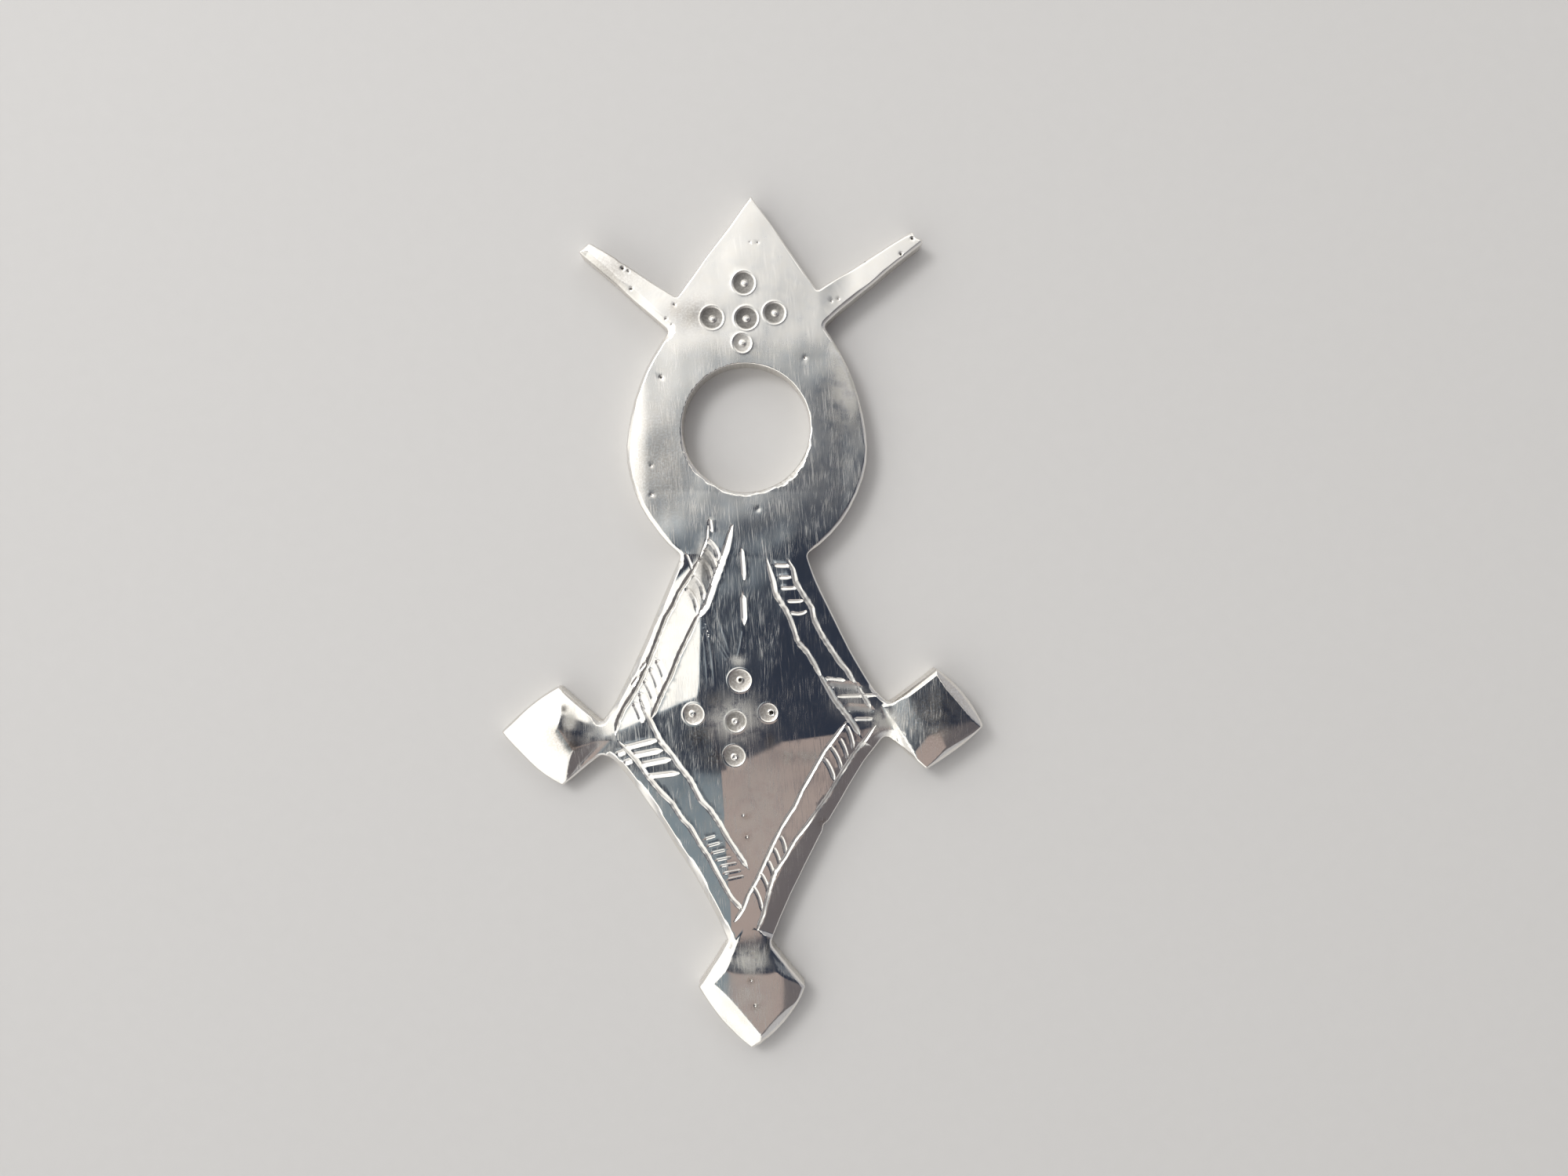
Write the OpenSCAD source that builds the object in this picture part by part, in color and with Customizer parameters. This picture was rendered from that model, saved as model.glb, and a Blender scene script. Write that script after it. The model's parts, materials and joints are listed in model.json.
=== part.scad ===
// Southern cross pendant in cast and filed silver, lying face up.
// The back is flat on the XY plane, the face looks up +Z, and the pointed head is at +Y.
// The origin is the centre of the cord hole on the back face. Sizes are in millimetres.

/* [Ring and head] */
// Thickness of the head, the horns and the ring
plate_t = 1.9; // [1.6:0.1:2.4]
// Radius of the round hole that the cord passes through
hole_r = 4.5; // [3.8:0.1:5.2]
// Height of the filed bevel along the edges of the head, horns and ring
plate_bevel = 0.25; // [0.1:0.05:0.4]

/* [Body] */
// Thickness of the kite-shaped body at its edge, under the bevel
body_edge_t = 1.4; // [1.1:0.1:1.7]
// Height of the bevel round the body
body_bevel_h = 0.35; // [0.2:0.05:0.5]
// Width of that bevel, seen from above
body_bevel_w = 0.35; // [0.2:0.05:0.5]
// Thickness at the flat table in the middle of the body
table_z = 2.4; // [2.3:0.1:2.8]
// Thickness at the neck, where the body runs out onto the ring
neck_z = 2.05; // [2:0.05:2.3]

/* [Finials] */
// Thickness of the three finials at their edges
finial_edge_t = 1.3; // [1:0.1:1.6]
// Height where the steep edge facets of a finial meet its low pyramid
finial_shoulder_z = 1.9; // [1.7:0.1:2.2]
// Thickness at the peak of a finial
finial_peak_z = 2.4; // [2.3:0.1:2.8]
// Size of the low pyramid against the whole finial
finial_inner = 0.78; // [0.65:0.01:0.9]

/* [Punched and cut marks] */
// Radius of the ring groove that each punch leaves, to the middle of the groove
punch_r = 0.62; // [0.45:0.01:0.75]
// Radius of the groove's round section
punch_groove_r = 0.17; // [0.1:0.01:0.22]
// Width of the two chisel dashes on the neck
dash_w = 0.45; // [0.3:0.05:0.6]
// Depth of the dashes
dash_d = 0.15; // [0.1:0.05:0.25]
// Width of the graver lines of the four bands
line_w = 0.3; // [0.2:0.05:0.4]
// Depth of the graver lines
line_d = 0.12; // [0.06:0.02:0.2]

/* [Hidden] */

// Number of straight steps in each curved stretch of an outline
ARC_STEPS = 6;
// Distance that a cutting tool reaches past the surface that it cuts
CLEAR = 1;
// Width of the flat spot on a finial's peak
SPOT = 0.1;
// Colour of worn, softly polished silver
SILVER = [0.82, 0.81, 0.78];

// Places in body_peaks, by name
NECK_RIGHT = 0;
TABLE_BACK_RIGHT = 1;
TABLE_RIGHT = 2;
TABLE_FRONT = 3;
TABLE_LEFT = 4;
TABLE_BACK_LEFT = 5;
NECK_LEFT = 6;

// Corners of the raised surface of the body: the neck end, then round the table
body_peaks = [
    [2.9, -8.6, neck_z],
    [2.6, -18.8, table_z],
    [2.6, -21.9, table_z],
    [-1.5, -24, table_z],
    [-3.9, -21, table_z],
    [-3.3, -18.7, table_z],
    [-2.8, -8.6, neck_z],
];

// Outlines of the ring, the head and the horns, clockwise. The last three reach into the ring.
// Columns: x, y, bow of the edge that leads to the next corner
ring_outline = [
    [-5.4, 6.8, 0],
    [5.4, 7.2, 0.65],
    [8.5, -1.3, 1.1],
    [4.3, -8.8, 1],
    [-4.6, -8.9, 0.95],
    [-8.4, -1.3, 0.6],
];
head_outline = [
    [0.35, 16.25, 0],
    [5, 9.6, 0],
    [5.4, 7.2, 0],
    [4.8, 5.8, 0],
    [-4.8, 5.8, 0],
    [-5.4, 6.8, 0],
    [-4.85, 9.1, 0],
];
left_horn = [
    [-11.75, 12.35, 0],
    [-10.95, 13, 0],
    [-3.3, 8.1, 0],
    [-4.2, 5.75, 0],
];
right_horn = [
    [11.7, 13.8, 0],
    [12.5, 13.05, 0],
    [4.2, 6.2, 0],
    [3.3, 8.55, 0],
];

// Point of the body's back that every stretch of its edge can be seen from
body_middle = [0, -20];
// Outline of the body, clockwise from its hidden end under the ring.
// Columns: x, y, bow of the edge to the next corner, peak that the edge slopes up to
body_outline = [
    [-4, -7.4, 0, NECK_LEFT],
    [4, -7.4, 0, NECK_RIGHT],
    [4.25, -8.9, -0.1, NECK_RIGHT],
    [6.4, -13.7, -0.1, TABLE_BACK_RIGHT],
    [9, -18.4, 0, TABLE_BACK_RIGHT],
    [10.1, -19.4, 0, TABLE_RIGHT],
    [9.8, -21.5, 0, TABLE_RIGHT],
    [8.4, -23.3, -0.1, TABLE_RIGHT],
    [4.8, -29.5, -0.1, TABLE_FRONT],
    [1.7, -36.2, 0, TABLE_FRONT],
    [-1.2, -36.1, -0.15, TABLE_FRONT],
    [-4.9, -29.4, -0.15, TABLE_LEFT],
    [-9.3, -23.3, 0, TABLE_LEFT],
    [-10.1, -22.9, 0, TABLE_LEFT],
    [-10.2, -20.7, 0, TABLE_BACK_LEFT],
    [-9.3, -19.5, -0.05, TABLE_BACK_LEFT],
    [-6.8, -14.2, -0.05, NECK_LEFT],
    [-4.6, -9, 0, NECK_LEFT],
];

// Outlines of the finials, clockwise. The first two corners lie inside the body.
// Columns: x, y, bow of the edge to the next corner
left_finial = [
    [-9.7, -21.3, 0],
    [-9.7, -22.3, 0],
    [-10.1, -22.9, 0],
    [-12.95, -25.15, 0.35],
    [-17.25, -21.4, 0.2],
    [-13.2, -18.15, 0],
    [-10.2, -20.7, 0],
];
right_finial = [
    [9.4, -21, 0],
    [9.4, -20, 0],
    [10.1, -19.4, 0],
    [13.35, -16.85, 0.35],
    [16.65, -20.85, 0.2],
    [12.6, -23.9, 0],
    [9.8, -21.5, 0],
];
bottom_finial = [
    [-0.8, -35.6, 0],
    [1.2, -35.6, 0],
    [1.7, -36.2, 0],
    [4.2, -39.2, 0.5],
    [0.4, -43.65, 0.3],
    [-3.4, -39.3, 0],
    [-1.2, -36.1, 0],
];
// Peaks of the finials, and the saddles that carry their ridges to the body
left_peak = [-13.2, -21.6];
right_peak = [13.2, -20.4];
bottom_peak = [0.4, -39.4];
left_saddle = [-10.3, -21.8];
right_saddle = [10, -20.4];
bottom_saddle = [0.25, -36.4];
// Thickness at a saddle
saddle_z = 1.75;

// Middles of the ring punches: a cross of five on the head and one on the table
head_punches = [[-0.15, 10.1], [-2.35, 7.65], [0.05, 7.65], [2, 8], [-0.25, 5.9]];
body_punches = [[-0.4, -17.65], [-3.6, -20], [-0.65, -20.5], [1.6, -19.9], [-0.75, -22.9]];

// Ends of the two chisel dashes on the neck
dashes = [[[-0.25, -8.85], [-0.1, -10.7]], [[-0.15, -11.9], [-0.05, -13.7]]];

// Graver lines of the four bands, along the edges of the body: an inner and an outer line each
band_lines = [
    [[-0.9, -6.8], [-1.4, -8.4], [-2.1, -10.6], [-2.7, -12.4], [-4.1, -14.7], [-5.2, -17.3], [-6.6, -20.4]],
    [[-2.8, -6.5], [-2.9, -8], [-3.7, -9.9], [-4.8, -11.7], [-6.1, -14.7], [-7.3, -17.4], [-8.4, -19.7],
     [-9.1, -21.2]],
    [[-7.5, -19.2], [-6.7, -20.5], [-4.5, -24], [-2.8, -26.4], [-1.4, -28.4], [0.4, -31]],
    [[-9, -21.9], [-6.9, -24.4], [-5, -26.3], [-3.4, -28.8], [-1.3, -32.1], [0, -33.8]],
    [[6.3, -21.6], [4.4, -24.9], [3.1, -27.2], [1.2, -30.5], [0.2, -32.7], [-0.8, -34.7]],
    [[9.2, -20.7], [7.8, -22.8], [5.1, -26.8], [3.1, -29.6], [1.7, -32.9], [0.9, -35.3]],
    [[1.4, -9.1], [2.1, -11.6], [3.1, -13.9], [4.3, -15.8], [5.6, -18.1], [8, -21.5]],
    [[3.2, -9.2], [4.7, -13.2], [6, -15.7], [7.8, -18.1], [9.2, -20.1]],
];

// Groups of short bars across the bands. Columns: first bar, last bar, number of bars
bar_groups = [
    [[[-2.7, -7.9], [-2, -9.4]], [[-4.3, -11.4], [-3.3, -13]], 5],
    [[[-6.2, -16.3], [-5.5, -17.9]], [[-7.5, -19.4], [-6.8, -20.8]], 5],
    [[[-8.3, -22.4], [-6.1, -21.9]], [[-6.6, -24.4], [-4.7, -24.1]], 4],
    [[[-2.9, -28.8], [-2, -28.5]], [[-1.3, -31.6], [0, -31.3]], 7],
    [[[7.1, -21.6], [7.6, -22.8]], [[5.4, -23.2], [6.2, -24.8]], 5],
    [[[2.4, -28.6], [2.9, -29.9]], [[0.5, -32.2], [1.2, -33.7]], 6],
    [[[2.1, -9.6], [3, -9.6]], [[3.3, -13.2], [4.3, -13]], 5],
    [[[5.6, -17.6], [7.6, -17.9]], [[7.6, -20.4], [8.9, -20.4]], 4],
];

// Point on the arc from a to b whose middle stands bow to the left of the straight line
function arc_point(a, b, bow, t) =
    let (
        chord = b - a,
        half = norm(chord) / 2,
        radius = (half * half + bow * bow) / (2 * abs(bow)),
        side = [-chord.y, chord.x] / norm(chord) * sign(bow),
        half_angle = asin(min(1, half / radius)),
        angle = half_angle * (2 * t - 1),
        middle = (a + b) / 2 - side * (radius - abs(bow))
    )
    middle + side * radius * cos(angle) + chord / norm(chord) * radius * sin(angle);

// Points of one edge of an outline, without its end
function edge_points(a, b, bow) =
    bow == 0 ? [a] : [for (i = [0 : ARC_STEPS - 1]) arc_point(a, b, bow, i / ARC_STEPS)];

function next_row(rows, i) = rows[(i + 1) % len(rows)];
function corner(row) = [row.x, row.y];

// All points of an outline given as rows
function outline_points(rows) = [
    for (i = [0 : len(rows) - 1])
        each edge_points(corner(rows[i]), corner(next_row(rows, i)), rows[i][2])
];

// The peak that each of those points slopes up to
function outline_peaks(rows) = [
    for (row = rows)
        each [for (i = [1 : row[2] == 0 ? 1 : ARC_STEPS]) row[3]]
];

// Outline moved inwards by d, for points that run clockwise
function inset_point(before, here, after, d) =
    let (
        u = (here - before) / norm(here - before),
        v = (after - here) / norm(after - here),
        inward_u = [u.y, -u.x],
        inward_v = [v.y, -v.x]
    )
    here + (inward_u + inward_v) * d / (1 + inward_u * inward_v);
function inset_outline(points, d) =
    let (n = len(points))
    [for (i = [0 : n - 1]) inset_point(points[(i + n - 1) % n], points[i], points[(i + 1) % n], d)];

function lifted(points, z) = [for (p = points) [p.x, p.y, z]];

function mean_point(points) = [for (p = points) 1] * points / len(points);

// Side faces between two loops of n points, which start at the indices low and high
function band_faces(n, low, high) = [
    for (i = [0 : n - 1])
        let (j = (i + 1) % n)
        each [[low + i, high + j, high + i], [low + i, low + j, high + j]]
];

// Flat faces from a middle point to each side of a loop, which looks up or down
function cap_faces(n, loop, middle, up) = [
    for (i = [0 : n - 1])
        let (j = (i + 1) % n)
        up ? [loop + i, loop + j, middle] : [loop + j, loop + i, middle]
];

// Plate with upright walls, a bevel and a flat face, for a convex outline
module bevelled_plate(rows, thickness, bevel) {
    points = outline_points(rows);
    n = len(points);
    middle = mean_point(points);
    loops = concat(
        lifted(points, 0),
        lifted(points, thickness - bevel),
        lifted(inset_outline(points, bevel), thickness),
        [[middle.x, middle.y, 0], [middle.x, middle.y, thickness]]
    );
    faces = concat(
        cap_faces(n, 0, 3 * n, false),
        band_faces(n, 0, n),
        band_faces(n, n, 2 * n),
        cap_faces(n, 2 * n, 3 * n + 1, true)
    );
    polyhedron(loops, faces);
}

module head_and_ring() {
    for (rows = [ring_outline, head_outline, left_horn, right_horn])
        bevelled_plate(rows, plate_t, plate_bevel);
}

// Kite-shaped body: upright walls, a bevel, then facets that rise to the table and the neck.
// With a drop, all its faces but the bevel's upper edge lie that far inside the plain one.
module body(drop) {
    points = outline_points(body_outline);
    peak = outline_peaks(body_outline);
    n = len(points);
    loops = concat(
        lifted(inset_outline(points, drop), drop),
        lifted(inset_outline(points, drop), body_edge_t - drop),
        lifted(inset_outline(points, body_bevel_w), body_edge_t + body_bevel_h - drop),
        [for (p = body_peaks) [p.x, p.y, p.z - drop]],
        [[body_middle.x, body_middle.y, drop]]
    );
    rim = 2 * n;
    top = 3 * n;
    back = cap_faces(n, 0, top + len(body_peaks), false);
    slopes = [
        for (i = [0 : n - 1])
            let (j = (i + 1) % n)
            each peak[i] == peak[j]
                ? [[rim + i, rim + j, top + peak[i]]]
                : [[rim + i, rim + j, top + peak[i]], [rim + j, top + peak[j], top + peak[i]]]
    ];
    neck = [[top + NECK_LEFT, top + TABLE_BACK_RIGHT, top + TABLE_BACK_LEFT],
            [top + NECK_LEFT, top + NECK_RIGHT, top + TABLE_BACK_RIGHT]];
    table = [[for (i = [TABLE_BACK_RIGHT : TABLE_BACK_LEFT]) top + i]];
    polyhedron(loops, concat(back, band_faces(n, 0, n), band_faces(n, n, rim), slopes, neck, table));
}

// Small upright post, whose top is one end of a finial's ridge
module ridge_end(place, height) {
    translate(place)
        linear_extrude(height)
            square(SPOT, center = true);
}

// Finial: a low four-sided pyramid inside steeper edge facets
module finial(rows, peak, saddle) {
    points = outline_points(rows);
    inner = [for (p = points) peak + (p - peak) * finial_inner];
    hull() {
        linear_extrude(finial_edge_t) polygon(points);
        linear_extrude(finial_shoulder_z) polygon(inner);
        ridge_end(peak, finial_peak_z);
        ridge_end(saddle, saddle_z);
    }
}

// Height of the neck's spine and of the table along the middle of the body
function spine_z(y) =
    let (
        near = body_peaks[NECK_LEFT],
        far = body_peaks[TABLE_BACK_LEFT]
    )
    y < far.y ? table_z : neck_z + (table_z - neck_z) * (near.y - y) / (near.y - far.y);

// Ring groove of one punch, round its pip
module ring_punch(place, z) {
    translate([place.x, place.y, z])
        rotate_extrude($fn = 32)
            translate([punch_r, 0])
                circle(r = punch_groove_r, $fn = 16);
}

// Pointed chisel cut from a to b, as deep as dash_d in the middle of its width
module dash(ends) {
    a = ends[0];
    b = ends[1];
    run = b - a;
    middle = (a + b) / 2;
    translate([middle.x, middle.y, spine_z(middle.y) - dash_d])
        rotate([0, 0, atan2(run.y, run.x)])
            linear_extrude(CLEAR)
                polygon([[-norm(run) / 2, 0], [0, -dash_w / 2], [norm(run) / 2, 0], [0, dash_w / 2]]);
}

// One straight cut of the graver, seen from above
module stroke(a, b) {
    translate(a)
        rotate(atan2(b.y - a.y, b.x - a.x))
            translate([-line_w / 2, -line_w / 2])
                square([norm(b - a) + line_w, line_w]);
}

module bands() {
    for (line = band_lines, i = [1 : len(line) - 1])
        stroke(line[i - 1], line[i]);
    for (group = bar_groups, i = [0 : group[2] - 1])
        let (bar = group[0] + (group[1] - group[0]) * i / (group[2] - 1))
            stroke(bar[0], bar[1]);
}

// Body with the bands cut line_d deep: the cut body, filled again by a copy that lies lower
module engraved_body() {
    difference() {
        body(0);
        translate([0, 0, body_edge_t / 2])
            linear_extrude(table_z) bands();
    }
    body(line_d);
}

module cross() {
    color(SILVER)
        difference() {
            union() {
                head_and_ring();
                engraved_body();
                finial(left_finial, left_peak, left_saddle);
                finial(right_finial, right_peak, right_saddle);
                finial(bottom_finial, bottom_peak, bottom_saddle);
            }
            translate([0, 0, -CLEAR])
                cylinder(h = plate_t + 2 * CLEAR, r = hole_r, $fn = 96);
            for (p = head_punches)
                ring_punch(p, plate_t);
            for (p = body_punches)
                ring_punch(p, spine_z(p.y));
            for (d = dashes)
                dash(d);
        }
}

cross();
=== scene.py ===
"""Southern cross pendant in worn silver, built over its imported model.

Laid out as an add-on and run as a script. The tables hold millimetres in the model's frame:
+Y points to the head, +Z out of the decorated face, and the cord hole's middle is the origin.
"""

import json
import math
from collections import namedtuple

import bpy
import numpy as np
from bpy.props import FloatProperty, FloatVectorProperty, PointerProperty
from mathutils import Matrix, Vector
from mathutils.geometry import delaunay_2d_cdt


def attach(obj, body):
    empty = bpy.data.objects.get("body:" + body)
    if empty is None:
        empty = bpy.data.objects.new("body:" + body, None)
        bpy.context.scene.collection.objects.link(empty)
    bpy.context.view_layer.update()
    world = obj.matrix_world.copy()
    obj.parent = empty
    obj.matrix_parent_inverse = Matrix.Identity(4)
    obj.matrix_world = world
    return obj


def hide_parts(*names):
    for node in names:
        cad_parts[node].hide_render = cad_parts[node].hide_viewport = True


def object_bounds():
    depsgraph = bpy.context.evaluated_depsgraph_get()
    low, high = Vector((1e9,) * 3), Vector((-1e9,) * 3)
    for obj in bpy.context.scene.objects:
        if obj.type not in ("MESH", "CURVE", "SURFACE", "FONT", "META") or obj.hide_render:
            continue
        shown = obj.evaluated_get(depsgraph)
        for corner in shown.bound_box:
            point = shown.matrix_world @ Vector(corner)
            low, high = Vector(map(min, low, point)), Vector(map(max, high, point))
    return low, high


bl_info = {
    "name": "Southern cross pendant",
    "version": (1, 0, 0),
    "blender": (4, 5, 0),
    "location": "3D View > Sidebar > Pendant",
    "description": "Builds a worn, hand-engraved silver cross pendant and a plain stage for it",
    "category": "Add Mesh",
}

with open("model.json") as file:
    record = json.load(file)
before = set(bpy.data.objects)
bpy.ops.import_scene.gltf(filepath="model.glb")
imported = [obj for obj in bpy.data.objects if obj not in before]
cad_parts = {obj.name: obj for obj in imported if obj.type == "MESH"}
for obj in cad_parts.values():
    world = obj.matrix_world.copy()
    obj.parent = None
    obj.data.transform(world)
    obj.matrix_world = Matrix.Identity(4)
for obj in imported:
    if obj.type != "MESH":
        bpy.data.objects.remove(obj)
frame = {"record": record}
CAD_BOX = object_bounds()
CAD_HIGH = CAD_BOX[1]
HOLE = next(m for m in frame["record"]["mounts"] if m["name"] == "ring_hole")

MM = 0.001
SEED = 11

# Outline of the whole cross, clockwise from the head's tip. bow is how far the edge to the next
# corner bulges outwards, rounding is how far the corner's curve reaches along both edges, and
# bevel and drop are the width and height of the filed bevel along that next edge.
Corner = namedtuple("Corner", "x y bow rounding bevel drop")
HEAD_AND_RIGHT_HORN = [
    Corner(0.35, 16.25, 0, 0.12, 0.12, 0.08),
    Corner(5, 9.6, 0, 0.25, 0.14, 0.08),
    Corner(11.7, 13.8, 0, 0.25, 0.3, 0.12),
    Corner(12.5, 13.05, 0, 0.3, 0.16, 0.16),
]
RING_RIGHT = [
    Corner(5.4, 7.2, 0.65, 0.4, 0.18, 0.15),
    Corner(8.5, -1.3, 1.1, 0, 0.18, 0.15),
]
BODY_UPPER_RIGHT = [
    Corner(4.25, -8.85, -0.1, 0.3, 0.1, 0.07),
    Corner(6.4, -13.7, -0.1, 0.3, 0.1, 0.07),
    Corner(9, -18.4, 0, 0.5, 0.2, 0.16),
]
RIGHT_FINIAL = [
    Corner(10.1, -19.4, 0, 0.35, 0.14, 0.1),
    Corner(13.35, -16.85, 0.35, 0.12, 0.14, 0.1),
    Corner(16.65, -20.85, 0.2, 0.15, 0.2, 0.12),
    Corner(12.6, -23.9, 0, 0.15, 0.14, 0.1),
]
BODY_LOWER_RIGHT = [
    Corner(9.8, -21.5, 0, 0.5, 0.6, 0.24),
    Corner(8.4, -23.3, -0.1, 0.6, 1.2, 0.3),
    Corner(4.8, -29.5, -0.1, 0.4, 1.25, 0.32),
]
BOTTOM_FINIAL = [
    Corner(1.7, -36.2, 0, 0.35, 0.14, 0.1),
    Corner(4.2, -39.2, 0.5, 0.15, 0.2, 0.12),
    Corner(0.4, -43.65, 0.3, 0.12, 0.14, 0.1),
    Corner(-3.4, -39.3, 0, 0.15, 0.14, 0.1),
]
BODY_LOWER_LEFT = [
    Corner(-1.2, -36.1, -0.15, 0.3, 0.5, 0.34),
    Corner(-4.9, -29.4, -0.15, 0.4, 0.5, 0.34),
    Corner(-9.3, -23.3, 0, 0.4, 0.4, 0.3),
]
LEFT_FINIAL = [
    Corner(-10.1, -22.9, 0, 0.35, 0.14, 0.1),
    Corner(-12.95, -25.15, 0.35, 0.15, 0.14, 0.1),
    Corner(-17.25, -21.4, 0.2, 0.15, 0.14, 0.1),
    Corner(-13.2, -18.15, 0, 0.15, 0.14, 0.1),
]
BODY_UPPER_LEFT = [
    Corner(-10.2, -20.7, 0, 0.35, 0.3, 0.24),
    Corner(-9.3, -19.5, -0.05, 0.4, 0.4, 0.3),
    Corner(-6.8, -14.2, -0.05, 0.3, 0.4, 0.3),
]
RING_LEFT = [
    Corner(-4.6, -8.9, 0.95, 0.3, 0.28, 0.19),
    Corner(-8.4, -1.3, 0.6, 0, 0.28, 0.19),
]
LEFT_HORN = [
    Corner(-5.4, 6.8, 0, 0.35, 0.45, 0.22),
    Corner(-11.75, 12.35, 0, 0.2, 0.2, 0.12),
    Corner(-10.95, 13, 0, 0.2, 0.14, 0.08),
    Corner(-4.85, 9.1, 0, 0.25, 0.12, 0.08),
]
OUTLINE = (
    HEAD_AND_RIGHT_HORN
    + RING_RIGHT
    + BODY_UPPER_RIGHT
    + RIGHT_FINIAL
    + BODY_LOWER_RIGHT
    + BOTTOM_FINIAL
    + BODY_LOWER_LEFT
    + LEFT_FINIAL
    + BODY_UPPER_LEFT
    + RING_LEFT
    + LEFT_HORN
)

# Filed facets of the body, each by three of its places. Columns: x, y, and the height there as a
# share of the way from the body's rim up to its table
BODY_FACETS = [
    ((-9.2, -19.4, -0.1), (-3.3, -13.1, 0.61), (-3.3, -18.8, 1)),
    ((4.2, -9.1, 0.26), (8.9, -18.3, 0), (2.6, -21.9, 1)),
    ((8.4, -23.3, 0), (1.7, -36.2, 0), (2.6, -21.9, 1)),
    ((-1.2, -36, 0), (-9.1, -23.2, 0), (-1.67, -24, 1)),
    ((-9.1, -22.5, 0), (-3.2, -19, 1), (-1.67, -24, 1)),
    ((-1.7, -24, 1), (2.3, -22.05, 1), (0.2, -35.6, 0.03)),
]
# Places along the middle where the neck's spine starts to rise and where it meets the table
SPINE_FOOT_Y = -8.6
SPINE_TOP_Y = -18.7
# Where the ring's plate starts to rise to the neck and how fast, the line that it ends at, and how
# fast it falls past that
RISE_START_Y = -4.5
PLATE_RISE = 0.018
PLATE_END_Y = -8.85
PLATE_END_FALL = 0.08
# Sideways fall of the right horn, towards the head
HORN_TILT = 0.06
# How fast the ring curves down to its right edge
RING_FALL = 0.003
# Heights over which neighbouring facets are rounded into each other
CRISP = 0.01
SOFT = 0.04
BLUNT = 0.25
# Way along the outline over which one bevel turns into the next
BEVEL_EASE = 0.4

# A finial: steep facets that leave an edge of the outline at the height rim and are blended into
# the others, gentle ones that have the peak's height at a place and fall from it by so much per
# millimetre along X and Y, and the place, height and fall of its neck
Finial = namedtuple("Finial", "peak peak_z steep gentle neck neck_z neck_fall")
Steep = namedtuple("Steep", "start end rim slope blend", defaults=(0.03,))
FINIALS = [
    Finial(
        (-13.1, -20.95), 2.38,
        [
            Steep((-17.25, -21.4), (-13.2, -18.15), 1.3, 0.49, 0.06),
            Steep((-12.95, -25.15), (-17.25, -21.4), 1.3, 0.36, 0.3),
            Steep((-13.2, -18.15), (-10.2, -20.7), 1.46, 0.55, 0.05),
            Steep((-10.1, -22.9), (-12.95, -25.15), 1.38, 0.5, 0.04),
        ],
        [
            ((-13.1, -20.95), (0.28, 0.22)),
            ((-12.9, -21.6), (0.2, -0.02)),
            ((-12.4, -21.6), (0.16, -0.16)),
        ],
        (-10.3, -21.8), 1.8, (-0.2, 0),
    ),
    Finial(
        (13.75, -19.55), 2.3,
        [
            Steep((9.95, -19.6), (13.35, -16.85), 1.88, 0.8),
            Steep((13.35, -16.85), (16.65, -20.85), 1.9, 0.8, 0.05),
            Steep((16.65, -20.85), (12.6, -23.9), 2.02, 0.7, 0.05),
            Steep((10.85, -22.95), (9.85, -20.9), 1.33, 0.88),
        ],
        [
            ((13.5, -19.7), (-0.08, 0.06)),
            ((14, -19.7), (0.08, 0.04)),
            ((13.1, -22), (-0.03, -0.13)),
            ((14.2, -21.3), (0.12, -0.06)),
        ],
        (10, -20.4), 1.8, (0.2, 0),
    ),
    Finial(
        (0.3, -39), 2.1,
        [
            Steep((-3.4, -39.3), (-1.2, -36.1), 1.4, 0.75),
            Steep((0.4, -43.65), (-3.4, -39.3), 1.32, 0.55),
            Steep((1.7, -36.2), (4.2, -39.2), 1.72, 0.47, 0.04),
            Steep((4.2, -39.2), (0.4, -43.65), 1.88, 0.6, 0.05),
        ],
        [
            ((-0.6, -39), (-0.07, -0.02)),
            ((-1.1, -39), (-0.15, -0.02)),
            ((0, -38), (0, -0.02)),
            ((1.6, -39), (0.08, -0.02)),
            ((2.2, -39), (0.2, -0.02)),
            ((0, -38), (0, 0.07)),
        ],
        (0.25, -36.5), 1.86, (0, -0.15),
    ),
]

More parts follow.
